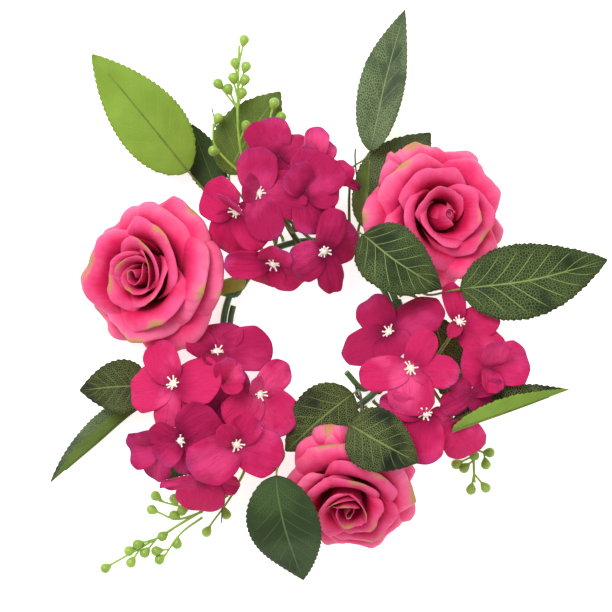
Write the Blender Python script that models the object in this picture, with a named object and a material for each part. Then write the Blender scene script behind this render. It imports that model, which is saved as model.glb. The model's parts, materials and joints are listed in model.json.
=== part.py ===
"""A small flower wreath that lies round a candle: a hoop of plastic-coated wire carries three roses,
three hydrangea heads, fourteen rose leaves and three sprays of berries, each on its own wired stem.

The hoop lies flat and +Z is up. The places of flowers and leaves are drawn in millimetres about the
hoop's centre, with heights above the top of its wire. At the end the whole wreath is moved so that the
middle of its outline is over the origin and the undersides of its bindings stand on z = 0.
"""

import math

import bmesh
import bpy
from mathutils import Matrix, Vector

MM = 0.001

# The hoop, the stems bound to its inner side, and the bindings of floral tape. A stem has a point every
# BIND_STEP degrees along the hoop, is over the hoop CROSSING_LEAD degrees after it leaves its run, and
# comes straight into its head over the last HEAD_LEAD mm; a cut tail joins the run TAIL_LEAD degrees
# before its start. A binding leaves STEM_ROOM more round the stem than round the hoop.
HOOP_RADIUS = 48.9
HOOP_WIRE = 3.6
STEM_WIRE = 3.2
PETIOLE_WIRE = 2.2
ROOT_RUN = 3.0
SPRAY_WIRE = 1.8
CLEARANCE = 0.4
STEM_ROOM = 0.2
BIND_STEP = 8
TAIL_LEAD = 6
CROSSING_LEAD = 15
HEAD_LEAD = 8.0
BAND_WALL = 1.0
BAND_LENGTH = 9.0

# Rose heads: a calyx with a spigot, two rings of petals threaded on it, and a bud pushed on its end
OUTER_DEPTH = 20.0
INNER_RADIUS = 20.0
INNER_DEPTH = 26.0
BUD_RADIUS = 10.5
BUD_LENGTH = 28.0
PETAL_WALL = 1.5
SPIGOT_RADIUS = 2.9
SPIGOT_LENGTH = 13.0
CALYX_LENGTH = 8.0
CALYX_FOOT = 3.4
CALYX_RADIUS = 7.4
SEPAL_WALL = 1.1
SEPAL_REACH = 14.0
PEG_LENGTH = 6.5
BUD_GAP = 1.5

# Hydrangea heads: florets lie in layers on a dome round the head's middle
DOME_RADIUS = 44.0
DOME_SINK = 7.0
LAYER_STEP = 2.1
FLORET_RADIUS = 23.0
FLORET_NOTCH = 0.55
FLORET_WALL = 1.0
BRANCH_WIRE = 2.0

# Leaves and berries
LEAF_RIB = 1.6
LEAF_WALL = 1.0
BERRY_RADIUS = 3.1

# The places below were drawn round a hoop and on domes of these radii. A larger hoop moves flowers and
# leaves outwards with it, and a larger dome spreads its florets.
DRAWN_RADIUS = 48.9
DRAWN_DOME = 44.0

HOOP_HEIGHT = BAND_WALL + CLEARANCE + HOOP_WIRE / 2
HOOP_TOP = HOOP_HEIGHT + HOOP_WIRE / 2
STEM_RUN_RADIUS = HOOP_RADIUS - HOOP_WIRE / 2 - CLEARANCE - STEM_WIRE / 2

# Each rose: where its stem starts and leaves the hoop (degrees), the foot of its head (x, y, above the
# hoop), the way its head leans (degrees round from +X) and how far (degrees from upright), and how wide
# its outer petals open
ROSES = {
    "left_rose": {"run": (117, 142), "foot": (-75.0, 28.5, 10.0), "lean": (176, 33), "radius": 38.0},
    "back_rose": {"run": (4, 28), "foot": (60.1, 59.4, 9.0), "lean": (12, 22), "radius": 35.0},
    "front_rose": {"run": (248, 268), "foot": (19.4, -75.5, 11.0), "lean": (270, 42), "radius": 34.0},
}

# Each hydrangea: its stem's run, the end of the stem's cut tail if it turns inwards, the middle of the
# dome, the hub where its branches part, and its florets as (x, y, layer, spin in degrees)
HYDRANGEAS = {
    "back_hydrangea": {
        "run": (70, 84), "tail": None, "middle": (-17.0, 65.0), "hub": (-17.0, 64.0, 10.0),
        "florets": {
            "a": (-41.0, 63.0, 1, 0), "b": (-24.0, 74.0, 2, 20), "c": (-21.0, 36.0, 0, 45),
            "d": (7.0, 44.0, 2, 10), "e": (-19.0, 95.0, 0, 30), "f": (5.0, 78.0, 1, 60),
        },
    },
    "left_hydrangea": {
        "run": (163, 205), "tail": None, "middle": (-53.0, -47.0), "hub": (-53.0, -46.0, 10.0),
        "florets": {
            "a": (-76.0, -28.6, 1, 0), "b": (-51.3, -11.3, 0, 45), "c": (-27.0, -33.5, 1, 10),
            "d": (-72.0, -59.0, 0, 30), "e": (-41.0, -61.0, 2, 0), "f": (-58.0, -86.0, 1, 40),
        },
    },
    "right_hydrangea": {
        "run": (316, 326), "tail": (18.9, -23.2, 6.0), "middle": (65.0, -26.0), "hub": (61.0, -25.0, 12.0),
        "florets": {
            "a": (41.0, -2.0, 1, 0), "b": (51.0, -19.0, 2, 40), "c": (78.8, 4.3, 0, 10),
            "d": (59.0, -45.0, 1, 20), "e": (98.0, -16.0, 1, 0), "f": (86.0, -58.0, 0, 45),
        },
    },
}

# Each leaf: the angle of its root on the hoop, the points of its stalk, the points of its midrib from
# the base of the blade to the tip, the ways its face looks at base and tip, its width and its fold. A
# leaf whose stalk comes up through a hydrangea head keeps to that head.
LEAVES = {
    "leaf_1": {
        "root": 136, "stalk": [(-48, 57, 0), (-59, 76, 6)],
        "blade": [(-67.5, 86.4, 11), (-93, 118, 19), (-119.3, 149.6, 17)],
        "face": [(0.1, 0.1, 1), (0.0, 0.0, 1)], "width": 38, "fold": 0.10,
    },
    "leaf_2": {
        "root": 207, "stalk": [(-60, -31, -2), (-78, -38, -1)],
        "blade": [(-95.6, -43.2, 4), (-119, -63, 10), (-142.6, -83.2, 9)],
        "face": [(-0.3, 0.4, 0.85), (-0.4, 0.5, 0.75)], "width": 22, "fold": 0.15,
    },
    "leaf_3": {
        "root": 113, "stalk": [(-28, 60, 3), (-40, 75, 5)],
        "blade": [(-45, 85, 7), (-33, 108, 10), (-17.3, 129.6, 13)],
        "face": [(0, 0, 1), (0, 0, 1)], "width": 34, "fold": 0.1,
    },
    "leaf_4": {
        "root": 67, "stalk": [(20.5, 60, 6), (20.5, 75, 9), (22, 88, 10)],
        "blade": [(31.5, 98, 10), (40, 135, 17), (50.2, 172.8, 26)],
        "face": [(-0.9, 0.1, 0.75), (-0.8, 0.1, 0.8)], "width": 34, "fold": 0.15,
    },
    "leaf_5": {
        "root": 62, "stalk": [(26, 57, 1)],
        "blade": [(31, 66, 1), (46, 87, 3), (64.8, 107.5, 9)],
        "face": [(0, 0, 1), (0, 0, 1)], "width": 34, "fold": 0.05,
    },
    "leaf_6": {
        "root": 51, "stalk": [(31, 49, 6)],
        "blade": [(29.5, 55, 12), (29, 72, 24), (31, 91, 36)],
        "face": [(-1, 0.1, 0.2), (-1, 0.1, 0.2)], "width": 22, "fold": 0.3,
    },
    "leaf_7": {
        "root": 57, "stalk": [(27, 48, 14), (25, 51, 28)],
        "blade": [(27, 51, 45), (44.5, 36.5, 58), (68.6, 22.1, 45)],
        "face": [(0, 0, 1), (0, 0, 1)], "width": 32, "fold": 0.05,
    },
    "leaf_8": {
        "root": 27, "stalk": [(55, 24, 8), (63, 19, 26)],
        "blade": [(79.4, 22.1, 36), (118, 27, 37), (158.8, 37.8, 30)],
        "face": [(0, 0.1, 1), (0, 0, 1)], "width": 40, "fold": 0.06,
    },
    "leaf_9": {
        "root": 21, "stalk": [(57, 18, -1), (63, 13, 0)],
        "blade": [(67, 6, 1), (73, -16, 3), (79, -43, 2)],
        "face": [(0, 0, 1), (0, 0, 1)], "width": 24, "fold": 0.0,
    },
    "leaf_10": {
        "root": 311, "stalk": [(48, -50, 1), (62, -60, 12), (69, -59, 28)],
        "blade": [(75, -54, 42), (106, -43, 42), (137.7, -31.9, 34)],
        "face": [(0.2, -0.9, 0.45), (0.2, -0.9, 0.45)], "width": 26, "fold": 0.2,
        "through": "right_hydrangea",
    },
    "leaf_11": {
        "root": 299, "stalk": [(27, -44, 12), (26, -34, 25)],
        "blade": [(22, -34, 34), (3, -49, 37), (-14, -65, 31)],
        "face": [(0, 0, 1), (0, 0, 1)], "width": 30, "fold": 0.05,
    },
    "leaf_12": {
        "root": 293, "stalk": [(22, -50, 12), (24, -53, 34)],
        "blade": [(20, -50, 48), (36, -59, 57), (56, -70, 50)],
        "face": [(0, 0, 1), (0, 0, 1)], "width": 32, "fold": 0.05,
    },
    "leaf_13": {
        "root": 242, "stalk": [(-22, -55, 14), (-15, -66, 36)],
        "blade": [(-19, -77, 49), (-15, -103, 45), (-5, -135.5, 18)],
        "face": [(-0.2, 0.2, 1), (-0.2, -0.3, 1)], "width": 36, "fold": 0.03,
    },
    "leaf_14": {
        "root": 201, "stalk": [(-62, -20, 1), (-76, -27, 7)],
        "blade": [(-88, -30, 12), (-107, -31, 15), (-126.4, -32.9, 13)],
        "face": [(0, 0.2, 1), (0, 0.1, 1)], "width": 28, "fold": 0.15,
    },
}

# Each spray: the root on the hoop, its main stem and the middles of its berries
SPRAYS = {
    "back_spray": {
        "root": 108, "stem": [(-24, 64, 9), (-35, 84, 15), (-40, 110, 21), (-39, 154, 22)],
        "berries": [
            (-36.7, 157, 22), (-41.6, 144.7, 22), (-35.6, 142.6, 23), (-42.7, 136.6, 22),
            (-36.2, 135.5, 23), (-37.8, 128.5, 22), (-50.8, 133.4, 22), (-45.4, 130.7, 22),
            (-50.8, 115, 19), (-53.5, 99, 18),
        ],
    },
    "left_spray": {
        "root": 234, "stem": [(-34, -62, 0), (-42, -86, 1), (-76, -109, 2), (-112, -130, 1)],
        "berries": [(-113, -131, 1), (-100, -121.5, 1), (-95.6, -117.7, 3), (-91, -122, 1), (-82, -127, 1)],
    },
    "right_spray": {
        "root": 305, "stem": [(44, -57, 0), (72, -62, 1), (87, -66, 1), (89.5, -84, 0)],
        "berries": [(87, -87, 0), (94.5, -86, 0), (92.3, -61, 2), (98.3, -66.4, 1), (95, -73, 1)],
    },
}

BANDS = [14, 76, 126, 192, 256, 321]


def placed(x, y, above):
    """A drawn place, moved out with the hoop's radius and up with the thickness of its wire."""
    flat = Vector((x, y))
    flat *= 1 + (HOOP_RADIUS - DRAWN_RADIUS) / flat.length
    return Vector((flat.x, flat.y, HOOP_TOP + above)) * MM


def by_head(head, x, y, above):
    """A drawn place on or beside a hydrangea head, which keeps to the head and spreads with its dome."""
    way = Vector((x, y, above)) - Vector((*head["middle"], DOME_SINK))
    return placed(*head["middle"], DOME_SINK) + way * DOME_RADIUS / DRAWN_DOME * MM


def on_ring(angle, radius, height):
    turn = math.radians(angle)
    return Vector((radius * math.cos(turn), radius * math.sin(turn), height)) * MM


def smooth(points, steps):
    """A smooth curve through the points, with so many steps between each two."""
    reached = [2 * points[0] - points[1], *points, 2 * points[-1] - points[-2]]
    curve = []
    for a, b, c, d in zip(reached, reached[1:], reached[2:], reached[3:]):
        for step in range(steps):
            t = step / steps
            rise = (c - a) * t
            turn = (2 * a - 5 * b + 4 * c - d) * t**2
            settle = (3 * b - a - 3 * c + d) * t**3
            curve.append((2 * b + rise + turn + settle) / 2)
    return [*curve, points[-1]]


def along(curve, index):
    """The direction of a curve at one of its points."""
    ahead = curve[min(index + 1, len(curve) - 1)]
    behind = curve[max(index - 1, 0)]
    return (ahead - behind).normalized()


def coloured(name, colour, roughness):
    material = bpy.data.materials.new(name)
    material.use_nodes = True
    surface = material.node_tree.nodes["Principled BSDF"]
    surface.inputs["Base Color"].default_value = (*colour, 1)
    surface.inputs["Roughness"].default_value = roughness
    return material


def add_object(name, mesh_builder, material, pivot=Vector((0, 0, 0))):
    """One object of a bmesh given in the wreath's frame, with its origin at the pivot."""
    bmesh.ops.recalc_face_normals(mesh_builder, faces=mesh_builder.faces)
    bmesh.ops.translate(mesh_builder, vec=-pivot, verts=mesh_builder.verts)
    mesh = bpy.data.meshes.new(name)
    mesh_builder.to_mesh(mesh)
    mesh_builder.free()
    mesh.shade_smooth()
    mesh.set_sharp_from_angle(angle=math.radians(50))
    mesh.materials.append(material)
    item = bpy.data.objects.new(name, mesh)
    item.location = pivot
    bpy.context.collection.objects.link(item)
    return item


def join_rings(builder, rings):
    """A closed skin over a row of rings, with a cap on each end."""
    loops = [[builder.verts.new(point) for point in ring] for ring in rings]
    count = len(loops[0])
    for low, high in zip(loops, loops[1:]):
        for i in range(count):
            builder.faces.new((low[i], low[(i + 1) % count], high[(i + 1) % count], high[i]))
    builder.faces.new(loops[0][::-1])
    builder.faces.new(loops[-1])


def tube(builder, curve, radius, sides=8):
    """A round bar along a curve, its section carried along without twisting."""
    side = along(curve, 0).orthogonal().normalized()
    rings = []
    for index, centre in enumerate(curve):
        way = along(curve, index)
        side = (side - way * side.dot(way)).normalized()
        other = way.cross(side)
        turns = [2 * math.pi * i / sides for i in range(sides)]
        spokes = [side * math.cos(turn) + other * math.sin(turn) for turn in turns]
        rings.append([centre + spoke * radius * MM for spoke in spokes])
    join_rings(builder, rings)


def turned(builder, profile, steps, shape=None):
    """A solid turned from a profile of (radius, height); shape may change a point at an angle."""
    rings = []
    for step in range(steps):
        turn = 2 * math.pi * step / steps
        ring = []
        for radius, height in profile:
            if shape and radius > 0:
                radius, height = shape(radius, height, turn)
            ring.append(Vector((radius * math.cos(turn), radius * math.sin(turn), height)) * MM)
        rings.append([builder.verts.new(point) for point in ring])
    closed = profile[0][0] > 0
    spans = len(profile) if closed else len(profile) - 1
    for step in range(steps):
        here = rings[step]
        after = rings[(step + 1) % steps]
        for i in range(spans):
            j = (i + 1) % len(profile)
            builder.faces.new((here[i], after[i], after[j], here[j]))
    bmesh.ops.remove_doubles(builder, verts=builder.verts, dist=1e-7)


def unite(base, others):
    """The base joined with the others into one solid; the others are used up."""
    for other in others:
        cut = base.modifiers.new("join", "BOOLEAN")
        cut.operation = "UNION"
        cut.object = other
        with bpy.context.temp_override(object=base, active_object=base):
            bpy.ops.object.modifier_apply(modifier=cut.name)
        bpy.data.objects.remove(other)


def make_hoop(green):
    bpy.ops.mesh.primitive_torus_add(
        major_radius=HOOP_RADIUS * MM, minor_radius=HOOP_WIRE / 2 * MM,
        major_segments=40, minor_segments=8, location=(0, 0, HOOP_HEIGHT * MM),
    )
    hoop = bpy.context.object
    hoop.name = "base_hoop"
    hoop.data.shade_smooth()
    hoop.data.materials.append(green)


def sleeve_section(wall):
    """The outline of a binding round hoop and stem, as (radius, height), grown by a wall."""
    outline = []
    for i in range(6):
        turn = -math.pi / 2 + math.pi * i / 5
        size = HOOP_WIRE / 2 + wall
        outline.append((HOOP_RADIUS + size * math.cos(turn), HOOP_HEIGHT + size * math.sin(turn)))
    for i in range(6):
        turn = math.pi / 2 + math.pi * i / 5
        size = STEM_WIRE / 2 + STEM_ROOM + wall
        outline.append((STEM_RUN_RADIUS + size * math.cos(turn), HOOP_HEIGHT + size * math.sin(turn)))
    return outline


def make_band(name, angle, tape):
    half = math.degrees(BAND_LENGTH / 2 / HOOP_RADIUS)
    builder = bmesh.new()
    skins = []
    for wall in (CLEARANCE, CLEARANCE + BAND_WALL):
        rings = []
        for turn in (angle - half, angle, angle + half):
            rings.append([builder.verts.new(on_ring(turn, *point)) for point in sleeve_section(wall)])
        skins.append(rings)
    count = len(skins[0][0])
    for rings in skins:
        for low, high in zip(rings, rings[1:]):
            for i in range(count):
                builder.faces.new((low[i], low[(i + 1) % count], high[(i + 1) % count], high[i]))
    for end in (0, -1):
        inner = skins[0][end]
        outer = skins[1][end]
        for i in range(count):
            builder.faces.new((inner[i], inner[(i + 1) % count], outer[(i + 1) % count], outer[i]))
    add_object(name, builder, tape)


def stem_route(run, tail, target, way, last):
    """A flower stem: cut tail, along the hoop's inner side, over the hoop and up into its head."""
    start, leave = run
    points = []
    if tail:
        points.append(placed(*tail))
        points.append(on_ring(start - TAIL_LEAD, STEM_RUN_RADIUS - STEM_WIRE, HOOP_HEIGHT + STEM_WIRE))
    count = max(2, round((leave - start) / BIND_STEP))
    for i in range(count + 1):
        points.append(on_ring(start + (leave - start) * i / count, STEM_RUN_RADIUS, HOOP_HEIGHT))
    points.append(on_ring(leave + CROSSING_LEAD / 2, STEM_RUN_RADIUS, HOOP_HEIGHT + STEM_WIRE + CLEARANCE))
    points.append(on_ring(leave + CROSSING_LEAD, HOOP_RADIUS, HOOP_TOP + STEM_WIRE / 2 + 3 * CLEARANCE))
    points.append(target - way * HEAD_LEAD * MM)
    points.append(target)
    if last:
        points.append(target + way * last * MM)
    return points


def leaning(azimuth, tilt):
    around = math.radians(azimuth)
    down = math.radians(tilt)
    return Vector((math.sin(down) * math.cos(around), math.sin(down) * math.sin(around), math.cos(down)))


def bowl(radius, seat, rim_radius, depth, power):
    """The height of a ring of petals' underside at a radius."""
    return seat + depth * (radius / rim_radius) ** power


def make_rose(name, rose, colours):
    foot = placed(*rose["foot"])
    way = leaning(*rose["lean"])
    pose = Matrix.Translation(foot) @ way.to_track_quat("Z", "Y").to_matrix().to_4x4()
    hole = STEM_WIRE / 2 + CLEARANCE
    thread = SPIGOT_RADIUS + CLEARANCE
    outer_radius = rose["radius"]

    builder = bmesh.new()
    tube(builder, smooth(stem_route(rose["run"], None, foot, way, PEG_LENGTH), 2), STEM_WIRE / 2)
    add_object(f"{name}_stem", builder, colours["stem"])

    outer_seat = CALYX_LENGTH + CLEARANCE
    inner_seat = outer_seat + PETAL_WALL + CLEARANCE
    bud_seat = inner_seat + PETAL_WALL + BUD_GAP

    def outer_height(radius):
        return bowl(radius, outer_seat, outer_radius, OUTER_DEPTH, 2.2)

    def inner_height(radius):
        return bowl(radius, inner_seat, INNER_RADIUS, INNER_DEPTH, 1.8)

    def sepals(radius, height, turn):
        reach = max(0.0, math.cos(5 * turn))
        if radius < SEPAL_REACH / 2:
            return radius, height
        grown = radius + (SEPAL_REACH - radius) * reach
        return grown, outer_height(grown) - (outer_height(radius) - height)

    socket_top = PEG_LENGTH + CLEARANCE
    spigot_top = CALYX_LENGTH + SPIGOT_LENGTH
    rim = outer_height(CALYX_RADIUS) - CLEARANCE
    calyx = [
        (0, socket_top), (hole, socket_top), (hole, 0), (CALYX_FOOT, 0),
        ((CALYX_FOOT + CALYX_RADIUS) / 2, CALYX_LENGTH * 0.45), (CALYX_RADIUS, rim - SEPAL_WALL),
        (CALYX_RADIUS, rim), (SPIGOT_RADIUS, outer_height(SPIGOT_RADIUS) - CLEARANCE),
        (SPIGOT_RADIUS, spigot_top), (0, spigot_top),
    ]
    bud_middle = bud_seat + BUD_LENGTH * 0.45
    bud = [
        (0, spigot_top + CLEARANCE), (thread, spigot_top + CLEARANCE),
        (thread, bud_seat), (BUD_RADIUS * 0.6, bud_seat + BUD_LENGTH / 8), (BUD_RADIUS, bud_middle),
        (BUD_RADIUS * 0.95, bud_seat + BUD_LENGTH * 0.7), (BUD_RADIUS * 0.55, bud_seat + BUD_LENGTH * 0.93),
        (0, bud_seat + BUD_LENGTH),
    ]

    def ring_profile(height_at, rim_radius, shares):
        radii = [thread + (rim_radius - thread) * share for share in shares]
        under = [(radius, height_at(radius)) for radius in radii]
        over = [(radius, height_at(radius) + PETAL_WALL) for radius in reversed(radii)]
        return under + over

    def scalloped(count, size, rim_radius):
        def shape(radius, height, turn):
            wave = size * (radius / rim_radius) ** 3 * math.cos(count * turn)
            return radius + wave, height + 0.6 * wave
        return shape

    rings = {
        "calyx": (calyx, 20, sepals, colours["stem"]),
        "outer_petals": (
            ring_profile(outer_height, outer_radius, (0, 0.45, 0.75, 1)), 24,
            scalloped(6, 1.2, outer_radius), colours["rose"],
        ),
        "inner_petals": (
            ring_profile(inner_height, INNER_RADIUS, (0, 0.4, 0.72, 1)), 20,
            scalloped(5, 0.8, INNER_RADIUS), colours["rose"],
        ),
        "bud": (bud, 14, None, colours["rose_heart"]),
    }
    for piece, (profile, steps, shape, material) in rings.items():
        builder = bmesh.new()
        turned(builder, profile, steps, shape)
        item = add_object(f"{name}_{piece}", builder, material)
        item.matrix_world = pose


def make_floret(name, middle, place, layer, spin, material):
    """A four-lobed floret pressed to one layer of its head's dome."""
    ring_radius = DOME_RADIUS + LAYER_STEP * layer
    flat = Vector((place.x - middle.x, place.y - middle.y, 0)) / MM
    up = math.sqrt(ring_radius**2 - flat.length_squared)
    out = Vector((flat.x, flat.y, up)).normalized()
    side = out.cross(Vector((0, 1, 0))).normalized()
    other = out.cross(side)
    builder = bmesh.new()
    steps = 16

    def point(radius, share, turn):
        reach = FLORET_RADIUS * (FLORET_NOTCH + (1 - FLORET_NOTCH) * (0.5 + 0.5 * math.cos(4 * turn)))
        bend = reach * share / ring_radius
        swing = turn + math.radians(spin)
        away = side * math.cos(swing) + other * math.sin(swing)
        return middle + (out * math.cos(bend) + away * math.sin(bend)) * radius * MM

    skins = []
    for radius in (ring_radius, ring_radius - FLORET_WALL):
        centre = builder.verts.new(point(radius, 0, 0))
        rings = [
            [builder.verts.new(point(radius, share, 2 * math.pi * i / steps)) for i in range(steps)]
            for share in (0.55, 1)
        ]
        for i in range(steps):
            j = (i + 1) % steps
            builder.faces.new((centre, rings[0][i], rings[0][j]))
            builder.faces.new((rings[0][i], rings[1][i], rings[1][j], rings[0][j]))
        skins.append(rings[1])
    for i in range(steps):
        j = (i + 1) % steps
        builder.faces.new((skins[0][i], skins[0][j], skins[1][j], skins[1][i]))
    centre = middle + out * ring_radius * MM
    add_object(name, builder, material, centre)
    return middle + out * (ring_radius - FLORET_WALL - CLEARANCE) * MM


def make_hydrangea(name, head, colours):
    middle = placed(*head["middle"], DOME_SINK)
    hub = by_head(head, *head["hub"])
    tips = []
    for letter, (x, y, layer, spin) in head["florets"].items():
        place = by_head(head, x, y, DOME_SINK)
        tips.append(make_floret(f"{name}_floret_{letter}", middle, place, layer, spin, colours["hydrangea"]))
    up = Vector((0, 0, 1))
    builder = bmesh.new()
    tube(builder, smooth(stem_route(head["run"], head["tail"], hub, up, None), 2), STEM_WIRE / 2)
    stem = add_object(f"{name}_stem", builder, colours["stem"])
    branches = []
    for tip in tips:
        builder = bmesh.new()
        low = hub - up * 2 * MM
        bend = low.lerp(tip, 0.5) + up * 3 * MM
        tube(builder, [low, bend, tip], BRANCH_WIRE / 2, 6)
        branches.append(add_object("branch", builder, colours["stem"]))
    unite(stem, branches)


def blade_width(share):
    """The half width of a rose leaf from base (0) to tip (1), as a share of its widest."""
    return math.sin(math.pi * share**0.72) ** 0.8


def make_leaf(name, leaf, material):
    reach = HOOP_RADIUS + HOOP_WIRE / 2 + 2 * CLEARANCE
    root = on_ring(leaf["root"], reach, HOOP_HEIGHT)
    stalk = [root, on_ring(leaf["root"], reach + ROOT_RUN, HOOP_HEIGHT)]
    head = HYDRANGEAS.get(leaf.get("through"))
    stalk += [by_head(head, *point) if head else placed(*point) for point in leaf["stalk"]]
    blade = [by_head(head, *point) if head else placed(*point) for point in leaf["blade"]]
    steps = 2
    curve = smooth([*stalk, *blade], steps)
    curve = curve[: len(stalk) * steps] + smooth([*stalk, *blade], 3)[3 * len(stalk):]
    first = len(stalk) * steps
    lengths = [0.0]
    for a, b in zip(curve[first:], curve[first + 1:]):
        lengths.append(lengths[-1] + (b - a).length)
    faces = [Vector(face).normalized() for face in leaf["face"]]
    rings = []
    for index, centre in enumerate(curve):
        share = max(0.0, lengths[index - first] / lengths[-1]) if index >= first else 0.0
        face = faces[0].lerp(faces[1], share)
        way = along(curve, index)
        normal = (face - way * face.dot(way)).normalized()
        side = way.cross(normal)
        half = PETIOLE_WIRE / 2
        rib = PETIOLE_WIRE / 2
        wall = PETIOLE_WIRE / 2 * 0.75
        fold = 0.0
        if 0 < share:
            half = max(0.5, leaf["width"] / 2 * blade_width(share))
            rib = LEAF_RIB / 2
            wall = LEAF_WALL / 2
            fold = leaf["fold"]
        ring = []
        section = (
            (-1, 0), (-0.5, wall), (0, rib), (0.5, wall), (1, 0), (0.5, -wall), (0, -rib), (-0.5, -wall),
        )
        for across, thick in section:
            lift = abs(across) * half * fold + thick
            ring.append(centre + (side * across * half + normal * lift) * MM)
        rings.append(ring)
    builder = bmesh.new()
    join_rings(builder, rings)
    add_object(name, builder, material, root)


def make_spray(name, spray, material):
    reach = HOOP_RADIUS + HOOP_WIRE / 2 + CLEARANCE
    root = on_ring(spray["root"], reach, HOOP_HEIGHT)
    route = [root, on_ring(spray["root"], reach + ROOT_RUN, HOOP_HEIGHT)]
    route += [placed(*point) for point in spray["stem"]]
    curve = smooth(route, 3)
    builder = bmesh.new()
    tube(builder, curve, SPRAY_WIRE / 2, 6)
    stem = add_object(name, builder, material, root)
    extras = []
    for berry in spray["berries"]:
        middle = placed(*berry)
        nearest = min(range(len(curve)), key=lambda index: (curve[index] - middle).length)
        if (curve[nearest] - middle).length > BERRY_RADIUS * 0.8 * MM:
            builder = bmesh.new()
            tube(builder, [curve[nearest - 1], middle], SPRAY_WIRE / 2 * 0.8, 4)
            extras.append(add_object("shoot", builder, material))
        builder = bmesh.new()
        bmesh.ops.create_uvsphere(
            builder, u_segments=6, v_segments=4, radius=BERRY_RADIUS * MM, matrix=Matrix.Translation(middle)
        )
        extras.append(add_object("berry", builder, material))
    unite(stem, extras)


def stand_on_origin():
    """Moves everything so that the outline's middle is over the origin and the lowest face on z = 0."""
    bpy.context.view_layer.update()
    points = [item.matrix_world @ vertex.co for item in bpy.data.objects for vertex in item.data.vertices]
    low = Vector([min(point[axis] for point in points) for axis in range(3)])
    high = Vector([max(point[axis] for point in points) for axis in range(3)])
    middle = Vector(((low.x + high.x) / 2, (low.y + high.y) / 2, low.z))
    for item in bpy.data.objects:
        item.location -= middle


def main():
    for item in list(bpy.data.objects):
        bpy.data.objects.remove(item)
    colours = {
        "wire": coloured("coated_wire", (0.08, 0.25, 0.07), 0.45),
        "tape": coloured("floral_tape", (0.06, 0.17, 0.05), 0.8),
        "stem": coloured("moulded_stem", (0.2, 0.26, 0.03), 0.5),
        "rose": coloured("rose_silk", (0.8, 0.06, 0.18), 0.75),
        "rose_heart": coloured("rose_heart_silk", (0.6, 0.02, 0.08), 0.75),
        "hydrangea": coloured("hydrangea_silk", (0.55, 0.01, 0.1), 0.8),
        "leaf": coloured("leaf_cloth", (0.03, 0.08, 0.02), 0.7),
        "berry": coloured("berry_plastic", (0.28, 0.45, 0.05), 0.4),
    }
    make_hoop(colours["wire"])
    for number, angle in enumerate(BANDS, 1):
        make_band(f"binding_band_{number}", angle, colours["tape"])
    for name, rose in ROSES.items():
        make_rose(name, rose, colours)
    for name, head in HYDRANGEAS.items():
        make_hydrangea(name, head, colours)
    for name, leaf in LEAVES.items():
        make_leaf(name, leaf, colours["leaf"])
    for name, spray in SPRAYS.items():
        make_spray(name, spray, colours["berry"])
    stand_on_origin()


main()
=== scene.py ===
import json
import math
import random

import bpy
import numpy as np
from mathutils import Matrix, Vector


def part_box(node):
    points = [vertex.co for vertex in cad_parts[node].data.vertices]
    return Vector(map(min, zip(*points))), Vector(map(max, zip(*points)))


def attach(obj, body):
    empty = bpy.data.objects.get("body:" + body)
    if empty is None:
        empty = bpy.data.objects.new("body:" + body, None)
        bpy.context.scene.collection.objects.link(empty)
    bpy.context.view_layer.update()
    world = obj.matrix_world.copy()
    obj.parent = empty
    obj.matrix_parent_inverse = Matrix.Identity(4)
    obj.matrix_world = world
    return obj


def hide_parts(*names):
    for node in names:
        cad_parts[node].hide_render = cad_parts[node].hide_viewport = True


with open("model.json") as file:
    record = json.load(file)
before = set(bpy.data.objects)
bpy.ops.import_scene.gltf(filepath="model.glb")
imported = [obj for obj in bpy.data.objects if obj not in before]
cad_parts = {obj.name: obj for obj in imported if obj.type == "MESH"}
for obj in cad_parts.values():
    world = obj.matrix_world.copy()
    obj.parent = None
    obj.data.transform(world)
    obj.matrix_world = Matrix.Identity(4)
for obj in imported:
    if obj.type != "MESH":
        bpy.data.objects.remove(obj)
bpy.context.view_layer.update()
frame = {"record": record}

mm = 0.001
hoopLow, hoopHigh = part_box("base_hoop")
hoopMiddle = (hoopLow + hoopHigh) / 2
hoopTop = hoopHigh.z
hoopWire = (hoopHigh.z - hoopLow.z) / 2
hoopRadius = (hoopHigh.x - hoopLow.x) / 2 - hoopWire
bodyOf = {node: body for body, nodes in frame["record"]["behaviour"]["bodies"].items() for node in nodes}


def place(x, y, above=0.0):
    # millimetres about the hoop's middle, and above the top of its wire
    return Vector((hoopMiddle.x + x * mm, hoopMiddle.y + y * mm, hoopTop + above * mm))


def onRing(angle, radius, above):
    turn = math.radians(angle)
    return place(radius * math.cos(turn), radius * math.sin(turn), above)


# Camera and studio: looking straight down on the wreath as it lies on a white table

studio = {
    "lens": 150, "viewWidth": 330.5, "middle": (-3.2, 13.0), "focus": 25,
    "floorSize": 3000, "floorColour": "#FFFFFF",
    "floorGlow": 0.65,     # a lit table, so that shadows stay faint
    "sky": 0.62,
    # power in watts, side in metres, and place
    "lamps": {"overhead": (19, 0.9, (-0.5, 0.7, 1.3)), "fill": (5, 1.4, (0.9, -0.6, 1.2))},
}


def setCamera():
    lens = bpy.data.cameras.new("camera")
    lens.lens = studio["lens"]
    lens.clip_end = 20
    view = bpy.data.objects.new("camera", lens)
    bpy.context.collection.objects.link(view)
    distance = studio["lens"] * studio["viewWidth"] / lens.sensor_width
    view.location = place(*studio["middle"], studio["focus"] + distance)
    bpy.context.scene.camera = view


def addLight(name, power, size, spot):
    lamp = bpy.data.lights.new(name, "AREA")
    lamp.energy = power
    lamp.size = size
    lit = bpy.data.objects.new(name, lamp)
    lit.location = spot
    lit.rotation_euler = (-Vector(spot)).to_track_quat("-Z", "Y").to_euler()
    bpy.context.collection.objects.link(lit)


def setSky():
    world = bpy.data.worlds.new("studio")
    bpy.context.scene.world = world
    world.use_nodes = True
    sky = world.node_tree.nodes["Background"]
    sky.inputs["Color"].default_value = (1, 1, 1, 1)
    sky.inputs["Strength"].default_value = studio["sky"]


# Materials

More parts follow.
